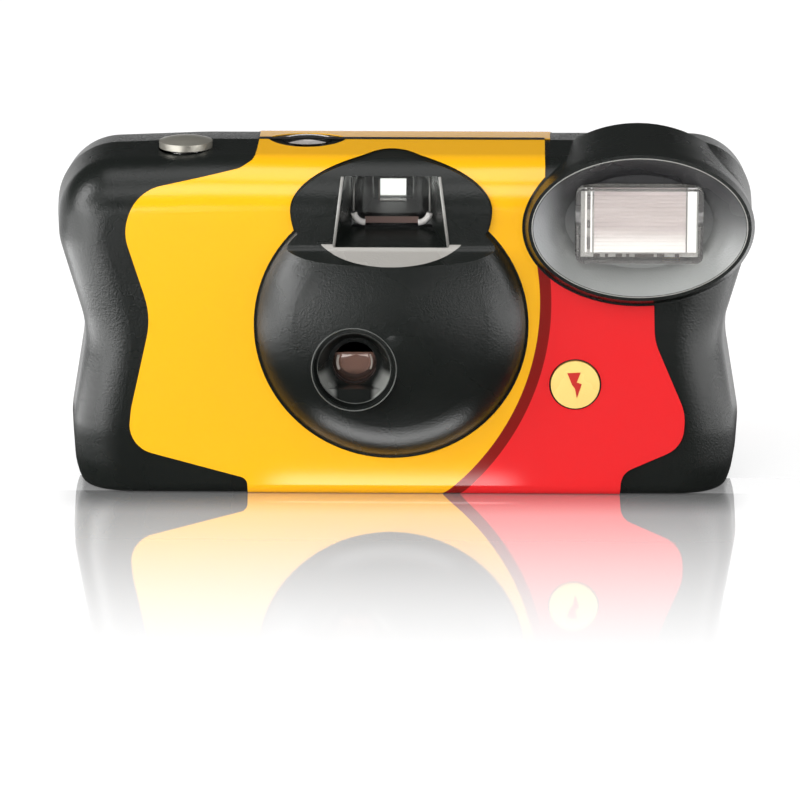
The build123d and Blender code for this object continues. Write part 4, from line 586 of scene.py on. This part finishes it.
node_finishes = {
    "front_cover": black_case, "rear_cover": black_case, "front_label": printed_label,
    "rear_label": printed_label, "main_frame": inner_black, "viewfinder_front_lens": clear_plastic,
    "viewfinder_housing": inner_black, "viewfinder_eyepiece": clear_plastic, "taking_lens": lens_clear,
    "lens_retainer": inner_black, "shutter_housing": inner_black, "shutter_blade": spring_steel,
    "blade_spring": spring_steel, "aperture_plate": inner_black, "striker_lever": white_plastic,
    "striker_spring": spring_steel, "release_lever": white_plastic, "shutter_button": silver_button,
    "button_spring": spring_steel, "counter_window": smoky_clear, "counter_wheel": white_plastic,
    "thumb_wheel": black_case, "cartridge_shell": can_metal, "cartridge_end_caps": can_metal,
    "cartridge_spool": inner_black, "supply_spool": inner_black, "film_roll": film_brown,
    "film_strip": film_brown, "sprocket_wheel": white_plastic, "metering_cam": white_plastic,
    "flash_window": flash_clear, "flash_reflector": mirror_metal, "flash_tube": tube_glass,
    "tube_leads": spring_steel, "circuit_board": board_green, "capacitor": can_metal,
    "transformer": winding_tape, "trigger_coil": winding_tape, "board_components": inner_black,
    "battery": cell_sleeve, "battery_contact_minus": brass_strip, "battery_contact_plus": brass_strip,
    "flash_button": yellow_button, "charge_contact": brass_strip, "sync_contact": brass_strip,
    "ready_light": lens_clear}
for node_name, finish in node_finishes.items():
    mesh = nodes[node_name].data
    mesh.materials.clear()
    mesh.materials.append(finish)


# Pieces too fine for the solids


def piece(name, shape, finish, body):
    """Turns a finished bmesh into an object that rides on a body."""
    mesh = bpy.data.meshes.new(name)
    bmesh.ops.recalc_face_normals(shape, faces=shape.faces)
    shape.to_mesh(mesh)
    shape.free()
    made = bpy.data.objects.new(name, mesh)
    bpy.context.scene.collection.objects.link(made)
    mesh.materials.append(finish)
    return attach(made, body)


def front_box(shape, x_low, x_high, y_front, y_back, z_low, z_high):
    """Adds a plain box to a shape."""
    size = Vector((x_high - x_low, y_back - y_front, z_high - z_low))
    middle = Vector((x_low + x_high, y_front + y_back, z_low + z_high)) / 2
    for vert in bmesh.ops.create_cube(shape, size=1.0)["verts"]:
        vert.co = middle + Vector((vert.co.x * size.x, vert.co.y * size.y, vert.co.z * size.z))


def wire(name, points, radius, finish, body, closed=False):
    """A round bead along a line of points."""
    sides = 10
    turns = [2 * math.pi * side / sides for side in range(sides)]
    shape = bmesh.new()
    rings = []
    count = len(points)
    for index, point in enumerate(points):
        before = points[index - 1] if index or closed else point
        after = points[(index + 1) % count] if index + 1 < count or closed else point
        along = (after - before).normalized()
        across = along.cross(Vector((0, 1, 0))).normalized()
        other = along.cross(across)
        rings.append([
            shape.verts.new(point + radius * (math.cos(turn) * across + math.sin(turn) * other))
            for turn in turns])
    pairs = list(zip(rings, rings[1:]))
    if closed:
        pairs.append((rings[-1], rings[0]))
    for one, two in pairs:
        for side in range(sides):
            following = (side + 1) % sides
            shape.faces.new((one[side], one[following], two[following], two[side]))
    if not closed:
        shape.faces.new(rings[0])
        shape.faces.new(rings[-1])
    made = piece(name, shape, finish, body)
    for face in made.data.polygons:
        face.use_smooth = True


def arc_points(centre_x, y, centre_z, radius, start_deg, end_deg, steps=8):
    """Points along an arc that faces the front."""
    points = []
    for index in range(steps + 1):
        angle = math.radians(start_deg + (end_deg - start_deg) * index / steps)
        points.append(Vector((centre_x + radius * math.cos(angle), y, centre_z + radius * math.sin(angle))))
    return points


def surface_point(node_name, x, z, start_y):
    """Where a line that runs backwards from a start meets a solid, or nothing where it misses."""
    hit, place, _, _ = nodes[node_name].ray_cast(Vector((x, start_y, z)), Vector((0, 1, 0)))
    return place if hit else None


def flash_ribs():
    """Fine level ribs behind the flash window's front wall."""
    pitch = 0.62 * MM
    depth = 0.07 * MM
    steps = 6
    back = field_front + 0.4 * MM
    count = int((field_high - field_low) / pitch)
    shape = bmesh.new()
    rows = []
    for index in range(count * steps + 1):
        z = field_low + index * (field_high - field_low) / (count * steps)
        front = field_front + depth * abs(math.sin(math.pi * index / steps))
        corners = ((field_left, back), (field_right, back), (field_right, front), (field_left, front))
        rows.append([shape.verts.new((x, y, z)) for x, y in corners])
    for one, two in zip(rows, rows[1:]):
        for side in range(4):
            following = (side + 1) % 4
            shape.faces.new((one[side], one[following], two[following], two[side]))
    shape.faces.new(rows[0])
    shape.faces.new(rows[-1])
    piece("flash_rib_sheet", shape, flash_ribbed, "casing")


def flash_edges():
    """Painted highlights as bright side strips, the pale backing, and painted dark reflections as broken
    lines at the flash window's edges.
    """
    strip = 1.5 * MM
    gap = 0.3 * MM
    thin = 0.3 * MM
    front = field_front
    back = front + 0.35 * MM
    right = field_right + gap
    left = field_left - gap - thin
    shape = bmesh.new()
    # Bright strips: painted highlights on the window's clear side walls
    front_box(shape, right, right + strip, front, back, field_low, field_high)
    front_box(shape, left, left + thin, front, back, field_low, field_high)
    front_box(shape, left - 3 * thin, left - 2 * thin, front, back, field_low, field_high)
    piece("flash_side_highlights", shape, edge_highlight, "casing")

    wall = 1.6 * MM
    backing_front = front + 0.6 * MM
    backing_back = backing_front + 0.3 * MM
    shape = bmesh.new()
    front_box(
        shape, window_low.x + wall, window_high.x - wall, backing_front, backing_back,
        window_low.z + wall, window_high.z - wall)
    piece("flash_backing", shape, flash_back, "casing")

    # Each dash of painted dark reflection starts and ends at a share of the field's width or height
    level_dashes = (
        (0.03, 0.09), (0.14, 0.17), (0.24, 0.30), (0.34, 0.37), (0.42, 0.60), (0.63, 0.70), (0.80, 0.84))
    upright_dashes = ((0.05, 0.25), (0.40, 0.52), (0.70, 0.95))
    width = right + strip - left
    height = field_high - field_low
    dash_low = field_low - 2.7 * thin
    dash_high = field_low - thin
    shape = bmesh.new()
    for start, end in level_dashes:
        front_box(shape, left + start * width, left + end * width, front, back, dash_low, dash_high)
    for start, end in upright_dashes:
        low = field_low + start * height
        high = field_low + end * height
        front_box(shape, left - 2 * thin, left, front, back, low, high)
    piece("flash_edge_dark_reflections", shape, dark_reflection, "casing")


def flash_rim_bead():
    """The fine raised edge round the flash dish, pale grey as a painted highlight."""
    half_width = 17.95 * MM
    half_height = 11.85 * MM
    radius = 0.14 * MM
    y = flash_rim_y + 0.1 * MM
    turns = 96
    angles = (2 * math.pi * index / turns for index in range(turns))
    points = [
        Vector((flash_x + half_width * math.cos(angle), y, flash_z + half_height * math.sin(angle)))
        for angle in angles]
    wire("flash_rim_bead", points, radius, highlight_grey, "casing", closed=True)


def finder_edges():
    """Painted highlights: pale lips along the finder's mouth and the bright edges of its front lens."""
    lip_y = head_face_y + 0.05 * MM
    lip_radius = 0.26 * MM
    for name, side in (("finder_lip_left", -1), ("finder_lip_right", 1)):
        ends = [
            Vector((panel_x + side * mouth_top_half, lip_y, mouth_top_z)),
            Vector((panel_x + side * mouth_low_half, lip_y, mouth_low_z))]
        wire(name, ends, lip_radius, highlight_grey, "casing")
    inset = 0.9 * MM
    corner = 1.9 * MM
    rise = 0.45 * MM
    corner_radius = 0.55 * MM
    edge_radius = 0.16 * MM
    y = finder_lens_low.y - 0.3 * MM
    left = finder_lens_low.x + inset + corner
    right = finder_lens_high.x - inset - corner
    low = finder_lens_low.z + inset + corner + rise
    top = finder_lens_high.z - inset
    corners = (("finder_corner_left", left, 188, 272), ("finder_corner_right", right, -92, -8))
    for name, x, start, end in corners:
        points = arc_points(x, y, low, corner, start, end)
        wire(name, points, corner_radius, highlight_pale, "casing")
    for name, x in (("finder_edge_left", left - corner), ("finder_edge_right", right + corner)):
        ends = [Vector((x, y, low)), Vector((x, y, top))]
        wire(name, ends, edge_radius, highlight_grey, "casing")
    foot_depth = 0.2 * MM
    foot_low = low - corner - 0.1 * MM
    foot_high = low - corner + 1.0 * MM
    shape = bmesh.new()
    front_box(shape, left, right, y, y + foot_depth, foot_low, foot_high)
    piece("finder_lens_foot", shape, edge_rose, "casing")


def seam_line():
    """The dark parting line between the two labels, along the top."""
    # The label's top reaches these shares of its full width to either side
    left_share = 0.53
    right_share = 0.499
    half = 0.75 * MM
    sunk = 0.02 * MM
    thickness = 0.06 * MM
    low = label_high.z - sunk
    shape = bmesh.new()
    front_box(
        shape, label_low.x * left_share, label_high.x * right_share, seam_y - half, seam_y + half, low,
        low + thickness)
    piece("seam_line", shape, print_black, "casing")


def lens_details():
    """Fine rings round the lens cup as painted highlights, the dark brow over the lens and its two painted
    glints.
    """
    turns = 72
    start_y = cover_low.y - 2 * MM
    rings = (("cup_outer_bead", 7.1 * MM, 0.10 * MM), ("cup_inner_bead", 6.15 * MM, 0.08 * MM))
    for name, radius, thickness in rings:
        points = []
        for index in range(turns):
            angle = 2 * math.pi * index / turns
            x = lens_x + radius * math.cos(angle)
            z = lens_z + radius * math.sin(angle)
            point = surface_point("front_cover", x, z, start_y) or Vector((x, start_y, z))
            point.y = max(point.y, cad_low.y + thickness)
            points.append(point)
        wire(name, points, thickness, bead_highlight, "casing", closed=True)
    bore = 3.6 * MM
    brow_low = 1.75 * MM
    brow_thickness = 0.2 * MM
    brow_y = taking_low.y - 0.45 * MM
    brow_end_deg = math.degrees(math.asin(brow_low / bore))
    shape = bmesh.new()
    outline = arc_points(lens_x, brow_y, lens_z, bore, brow_end_deg, 180 - brow_end_deg, steps=16)
    shape.faces.new([shape.verts.new(point) for point in outline])
    bmesh.ops.solidify(shape, geom=list(shape.faces), thickness=brow_thickness)
    piece("lens_brow", shape, inner_black, "casing")
    glint_radius = 2.9 * MM
    glint_y = taking_low.y - 0.3 * MM
    before_deg, after_deg = 24, 26
    for name, side, thickness in (("lens_glint_left", 180, 0.24 * MM), ("lens_glint_right", 0, 0.16 * MM)):
        points = arc_points(lens_x, glint_y, lens_z, glint_radius, side - before_deg, side + after_deg)
        wire(name, points, thickness, glint_rose, "casing")


def eyepiece_mask():
    """The dark frame in front of the eyepiece, with the rose-brown block under its opening."""
    half = 2.8 * MM
    inset = 0.3 * MM
    opening_low = eye_low.z + 0.4 * MM
    opening_high = opening_low + 4.4 * MM
    back = eye_low.y - 0.15 * MM
    front = back - 0.4 * MM
    left, right = eye_low.x + inset, eye_high.x - inset
    low, high = eye_low.z + inset, eye_high.z - inset
    middle = (eye_low.x + eye_high.x) / 2
    shape = bmesh.new()
    front_box(shape, left, middle - half, front, back, low, high)
    front_box(shape, middle + half, right, front, back, low, high)
    front_box(shape, middle - half, middle + half, front, back, opening_high, high)
    piece("eyepiece_mask", shape, inner_black, "casing")
    rim = 0.35 * MM
    drop = 0.6 * MM
    block_front = front - 2.2 * MM
    shape = bmesh.new()
    front_box(shape, middle - half, middle + half, block_front, front, low - drop, opening_low)
    front_box(shape, middle - half - rim, middle - half, block_front, front, low, opening_high)
    piece("eyepiece_block", shape, edge_rose, "casing")


def flash_symbol():
    """Plain bolt sign, laid on the domed flash button."""
    lift = 0.05 * MM
    start_y = button_low.y - 3 * MM
    height = 4.5 * MM
    # Corners as shares of the sign's height, across and up from the button's middle
    upper = ((-0.30, 0.47), (0.20, 0.50), (0.05, 0.12), (0.0, -0.02), (-0.12, 0.02))
    lower = ((-0.12, 0.02), (0.05, 0.12), (0.24, 0.05), (0.06, -0.50), (-0.01, -0.12))
    shape = bmesh.new()
    for outline in (upper, lower):
        shape.faces.new([
            shape.verts.new((flash_button_x + x * height, 0, flash_button_z + z * height))
            for x, z in outline])
    bmesh.ops.triangulate(shape, faces=shape.faces)
    bmesh.ops.subdivide_edges(shape, edges=shape.edges, cuts=7, use_grid_fill=True)
    for vert in shape.verts:
        place = surface_point("flash_button", vert.co.x, vert.co.z, start_y)
        vert.co.y = (place.y if place else button_low.y) - lift
    piece("flash_sign", shape, symbol_red, "flash_button_body")


def counter_marks():
    """Ticks and plain numbers on the frame counter."""
    centre = (counter_low + counter_high) / 2
    top = counter_high.z + 0.02 * MM
    radius = (counter_high.x - counter_low.x) / 2
    ticks = 30
    ticks_per_number = 5
    tick_far = radius - 1.0 * MM
    tick_length = 0.7 * MM
    tick_half = 0.09 * MM
    number_reach = radius - 2.9 * MM
    number_size = 1.9 * MM
    shape = bmesh.new()
    for index in range(ticks):
        angle = 2 * math.pi * index / ticks
        out = Vector((math.cos(angle), math.sin(angle), 0))
        side = Vector((-out.y, out.x, 0)) * tick_half
        far = Vector((centre.x, centre.y, top)) + out * tick_far
        near = far - out * tick_length
        shape.faces.new([shape.verts.new(p) for p in (near - side, far - side, far + side, near + side)])
    for index in range(0, ticks, ticks_per_number):
        angle = 2 * math.pi * index / ticks
        words = bpy.data.curves.new("number", "FONT")
        words.body = str(index)
        words.size = number_size
        words.align_x = "CENTER"
        words.align_y = "CENTER"
        holder = bpy.data.objects.new("number", words)
        bpy.context.scene.collection.objects.link(holder)
        holder.rotation_euler = (0, 0, angle + math.pi / 2)
        holder.location = (
            centre.x + math.cos(angle) * number_reach, centre.y + math.sin(angle) * number_reach, top)
        bpy.context.view_layer.update()
        flat = bpy.data.meshes.new_from_object(holder)
        flat.transform(holder.matrix_world)
        shape.from_mesh(flat)
        bpy.data.objects.remove(holder)
    piece("counter_marks", shape, print_black, "counter_body")


def tube_ends():
    """Metal ends on the flash tube."""
    length = 1.6 * MM
    overhang = 0.12 * MM
    radius = (tube_high.z - tube_low.z) / 2 + overhang
    middle = (tube_low + tube_high) / 2
    lengthwise = Vector((1, 0, 0)).to_track_quat("Z", "Y").to_matrix()
    left_x = tube_low.x + length / 2
    right_x = tube_high.x - length / 2
    for name, x in (("tube_end_left", left_x), ("tube_end_right", right_x)):
        shape = bmesh.new()
        bmesh.ops.create_cone(
            shape, cap_ends=True, segments=32, radius1=radius, radius2=radius, depth=length)
        bmesh.ops.rotate(shape, verts=shape.verts, matrix=lengthwise)
        bmesh.ops.translate(shape, verts=shape.verts, vec=(x, middle.y, middle.z))
        piece(name, shape, solder, "casing")


def solder_dots():
    """Solder joints on the board's front; every fourth place stays bare."""
    rows, columns = 7, 9
    row_shift, column_shift, bare_every = 3, 5, 4
    radius = 0.55 * MM
    flatten = 0.35
    shape = bmesh.new()
    for row in range(rows):
        for column in range(columns):
            if (row * row_shift + column * column_shift) % bare_every == 0:
                continue
            x = board_low.x + (column + 1) * (board_high.x - board_low.x) / (columns + 1)
            z = board_low.z + (row + 1) * (board_high.z - board_low.z) / (rows + 1)
            for vert in bmesh.ops.create_icosphere(shape, subdivisions=2, radius=radius)["verts"]:
                vert.co = Vector((x + vert.co.x, board_low.y + vert.co.y * flatten, z + vert.co.z))
    piece("solder_joints", shape, solder, "casing")


flash_ribs()
flash_edges()
flash_rim_bead()
finder_edges()
seam_line()
lens_details()
eyepiece_mask()
flash_symbol()
counter_marks()
tube_ends()
solder_dots()


# Stage, lights and camera

FLOOR_HALF = 3.0
FLOOR_GREY = (0.86, 0.86, 0.86, 1)
WHITE = (1, 1, 1, 1)
FLOOR_GLOSS_ROUGHNESS = 0.04
FLOOR_BRIGHTNESS = 1.34
SHADOW_SHARE = 0.45

# The camera's mirror image in the table: strength, fading and half width
REFLECTION = 0.76
REFLECTION_CURVE = 1.3
REFLECTION_REACH = 0.116
MIRROR_HALF, MIRROR_END = 0.066, 0.078

# The painted shadow: a soft dark line where the camera's foot meets the table
CONTACT_SHADE = 0.75
CONTACT_REACH = 0.013
CONTACT_BEHIND = 0.002
CONTACT_HALF, CONTACT_END = 0.055, 0.060

# Brightness of the table as glossy pieces see it: overall, under the lens panel, at both sides and one peak
GLOW_FRONT = 0.05
GLOW_UNDER = 5.5
GLOW_UNDER_X = (-0.026, -0.018, 0.014, 0.022)
GLOW_UNDER_Y = (-0.026, -0.0215, -0.0165, -0.0145)
GLOW_SIDE = 3.8
GLOW_NEAR, GLOW_FAR = 0.06, 0.15
GLOW_PEAK = 5.0
GLOW_PEAK_X = (-0.155, -0.135, -0.120, -0.105)

CARD_HALF = 1.5
CARD_Y = 0.05
CARD_HEIGHT = 0.062

# Strength of the room's light on matt pieces and as glossy pieces mirror it
AMBIENT = 0.17
ROOM_GLOSS = 0.06


def mirror_share(tree, x, y):
    """How much the table mirrors: only under and before the camera, fading towards the front."""
    ahead = math_node(tree, "DIVIDE", minus(tree, front_foot_y, y), REFLECTION_REACH)
    curved = math_node(tree, "POWER", spread(tree, ahead, 0.0, 1.0, 1.0, 0.0, soft=False), REFLECTION_CURVE)
    beside_camera = spread(tree, math_node(tree, "ABSOLUTE", x), MIRROR_HALF, MIRROR_END, 1.0, 0.0)
    before_camera = math_node(tree, "LESS_THAN", y, 0.0)
    return times(tree, times(tree, curved, REFLECTION), times(tree, beside_camera, before_camera))


def table_brightness(tree, x, y):
    """The table's white, with a painted shadow along the camera's front foot."""
    near = spread(tree, minus(tree, front_foot_y, y), 0.0, CONTACT_REACH, CONTACT_SHADE, 0.0)
    before_foot = math_node(tree, "LESS_THAN", y, front_foot_y + CONTACT_BEHIND)
    beside_foot = spread(tree, math_node(tree, "ABSOLUTE", x), CONTACT_HALF, CONTACT_END, 1.0, 0.0)
    painted_contact_shadow = times(tree, near, times(tree, before_foot, beside_foot))
    return times(tree, minus(tree, 1.0, painted_contact_shadow), FLOOR_BRIGHTNESS)


def table_glow(tree, x, y):
    """The light that the camera's glossy pieces see in the table."""
    under_panel = times(tree, band(tree, y, *GLOW_UNDER_Y), band(tree, x, *GLOW_UNDER_X))
    middle = plus(tree, GLOW_FRONT, times(tree, under_panel, GLOW_UNDER))
    left = spread(tree, x, -GLOW_FAR, -GLOW_NEAR, GLOW_SIDE, 0.0)
    right = spread(tree, x, GLOW_NEAR, GLOW_FAR, 0.0, GLOW_SIDE)
    peak = times(tree, band(tree, x, *GLOW_PEAK_X), GLOW_PEAK)
    return plus(tree, middle, plus(tree, peak, plus(tree, left, right)))


def make_floor():
    """Pale table that looks white, mirrors the camera softly and keeps its shadow."""
    mesh = bpy.data.meshes.new("table_top")
    half = FLOOR_HALF
    corners = [(-half, -half, 0), (half, -half, 0), (half, half, 0), (-half, half, 0)]
    mesh.from_pydata(corners, [], [(0, 1, 2, 3)])
    table = bpy.data.objects.new("table_top", mesh)
    bpy.context.scene.collection.objects.link(table)
    made = bpy.data.materials.new("pale table")
    made.use_nodes = True
    tree = made.node_tree
    tree.nodes.clear()
    out = tree.nodes.new("ShaderNodeOutputMaterial")
    path = tree.nodes.new("ShaderNodeLightPath")
    white = tree.nodes.new("ShaderNodeEmission")
    shown = tree.nodes.new("ShaderNodeEmission")
    matt = tree.nodes.new("ShaderNodeBsdfDiffuse")
    matt.inputs["Color"].default_value = FLOOR_GREY
    gloss = tree.nodes.new("ShaderNodeBsdfGlossy")
    gloss.inputs["Color"].default_value = WHITE
    gloss.inputs["Roughness"].default_value = FLOOR_GLOSS_ROUGHNESS
    x, y, _ = place_parts(tree)
    tree.links.new(table_brightness(tree, x, y), white.inputs["Strength"])
    tree.links.new(table_glow(tree, x, y), shown.inputs["Strength"])
    seen = mix_shaders(tree, SHADOW_SHARE, white.outputs[0], matt.outputs[0])
    mirror = mix_shaders(tree, mirror_share(tree, x, y), seen, gloss.outputs[0])
    chosen = mix_shaders(tree, path.outputs["Is Glossy Ray"], matt.outputs[0], shown.outputs[0])
    chosen = mix_shaders(tree, path.outputs["Is Transmission Ray"], chosen, white.outputs[0])
    chosen = mix_shaders(tree, path.outputs["Is Camera Ray"], chosen, mirror)
    tree.links.new(chosen, out.inputs["Surface"])
    mesh.materials.append(made)


def make_white_card():
    """A low white card behind the camera, seen in mirror images alone and from its front."""
    mesh = bpy.data.meshes.new("white_card")
    corners = [
        (-CARD_HALF, CARD_Y, 0), (CARD_HALF, CARD_Y, 0), (CARD_HALF, CARD_Y, CARD_HEIGHT),
        (-CARD_HALF, CARD_Y, CARD_HEIGHT)]
    mesh.from_pydata(corners, [], [(0, 1, 2, 3)])
    card = bpy.data.objects.new("white_card", mesh)
    bpy.context.scene.collection.objects.link(card)
    card.visible_camera = False
    card.visible_diffuse = False
    card.visible_shadow = False
    card.visible_transmission = False
    made = bpy.data.materials.new("white card")
    made.use_nodes = True
    tree = made.node_tree
    tree.nodes.clear()
    out = tree.nodes.new("ShaderNodeOutputMaterial")
    side = tree.nodes.new("ShaderNodeNewGeometry")
    front = tree.nodes.new("ShaderNodeEmission")
    back = tree.nodes.new("ShaderNodeBsdfTransparent")
    both = mix_shaders(tree, side.outputs["Backfacing"], front.outputs[0], back.outputs[0])
    tree.links.new(both, out.inputs["Surface"])
    mesh.materials.append(made)


def make_world():
    """White to the eye and through clear pieces, a dim room in mirror images and in its light."""
    world = bpy.data.worlds.new("studio")
    bpy.context.scene.world = world
    # The room isn't sampled as a lamp, so that its own strength for glossy rays holds
    world.cycles.sampling_method = "NONE"
    world.use_nodes = True
    tree = world.node_tree
    tree.nodes.clear()
    out = tree.nodes.new("ShaderNodeOutputWorld")
    path = tree.nodes.new("ShaderNodeLightPath")
    back = tree.nodes.new("ShaderNodeBackground")
    mirrored = times(tree, path.outputs["Is Glossy Ray"], ROOM_GLOSS)
    soft = times(tree, minus(tree, 1.0, path.outputs["Is Glossy Ray"]), AMBIENT)
    direct = math_node(tree, "MAXIMUM", path.outputs["Is Camera Ray"], path.outputs["Is Transmission Ray"])
    strength = math_node(tree, "MAXIMUM", plus(tree, mirrored, soft), direct)
    tree.links.new(strength, back.inputs["Strength"])
    tree.links.new(back.outputs[0], out.inputs["Surface"])


def softbox(name, place, width, height, brightness, in_gloss=True):
    """A soft panel lamp that faces the camera part; brightness is what its face shows."""
    lamp = bpy.data.lights.new(name, "AREA")
    lamp.shape = "RECTANGLE"
    lamp.size = width
    lamp.size_y = height
    lamp.energy = brightness * math.pi * width * height
    holder = bpy.data.objects.new(name, lamp)
    bpy.context.scene.collection.objects.link(holder)
    middle = Vector((0, 0, 0.03))
    holder.location = place
    holder.rotation_euler = (middle - Vector(place)).to_track_quat("-Z", "Y").to_euler()
    holder.visible_camera = False
    holder.visible_glossy = in_gloss


def make_lights():
    """Soft panels above, beside and before the camera, and two fills that leave no highlight."""
    softbox("overhead", (0, -0.12, 0.75), width=0.6, height=0.45, brightness=2.0)
    softbox("left panel", (-0.75, -0.25, 0.38), width=0.35, height=0.6, brightness=9.0)
    softbox("low left panel", (-0.72, -0.62, 0.13), width=0.4, height=0.24, brightness=9.0)
    softbox("low right panel", (0.75, -0.60, 0.13), width=0.3, height=0.24, brightness=3.5)
    softbox("right panel", (0.8, -0.2, 0.3), width=0.3, height=0.5, brightness=4.0)
    softbox("front fill", (-0.25, -1.1, 0.75), width=0.9, height=0.7, brightness=0.4, in_gloss=False)
    softbox("back", (0.15, 0.9, 0.7), width=0.8, height=0.6, brightness=1.4, in_gloss=False)
    softbox("shoulder", (0, -0.75, 0.68), width=1.0, height=0.42, brightness=2.3)


def make_camera():
    """The photograph's view: a long lens, a little above and to the right."""
    turn = math.radians(view_turn_deg)
    rise = math.radians(view_rise_deg)
    back = Vector((math.sin(turn) * math.cos(rise), -math.cos(turn) * math.cos(rise), math.sin(rise)))
    aim_x = -(centre_pixel_column - picture_side / 2) / pixels_per_metre
    foot_below_middle = (foot_pixel_row - picture_side / 2) / pixels_per_metre
    aim = Vector((aim_x, front_foot_y, foot_below_middle / math.cos(rise)))
    data = bpy.data.cameras.new("photo view")
    data.sensor_width = sensor
    data.lens = pixels_per_metre * camera_distance * sensor / picture_side
    data.clip_end = 10
    camera = bpy.data.objects.new("photo view", data)
    bpy.context.scene.collection.objects.link(camera)
    camera.location = aim + back * camera_distance
    camera.rotation_euler = (-back).to_track_quat("-Z", "Y").to_euler()
    bpy.context.scene.camera = camera


make_floor()
make_white_card()
make_world()
make_lights()
make_camera()
bpy.context.scene.view_settings.view_transform = "Standard"
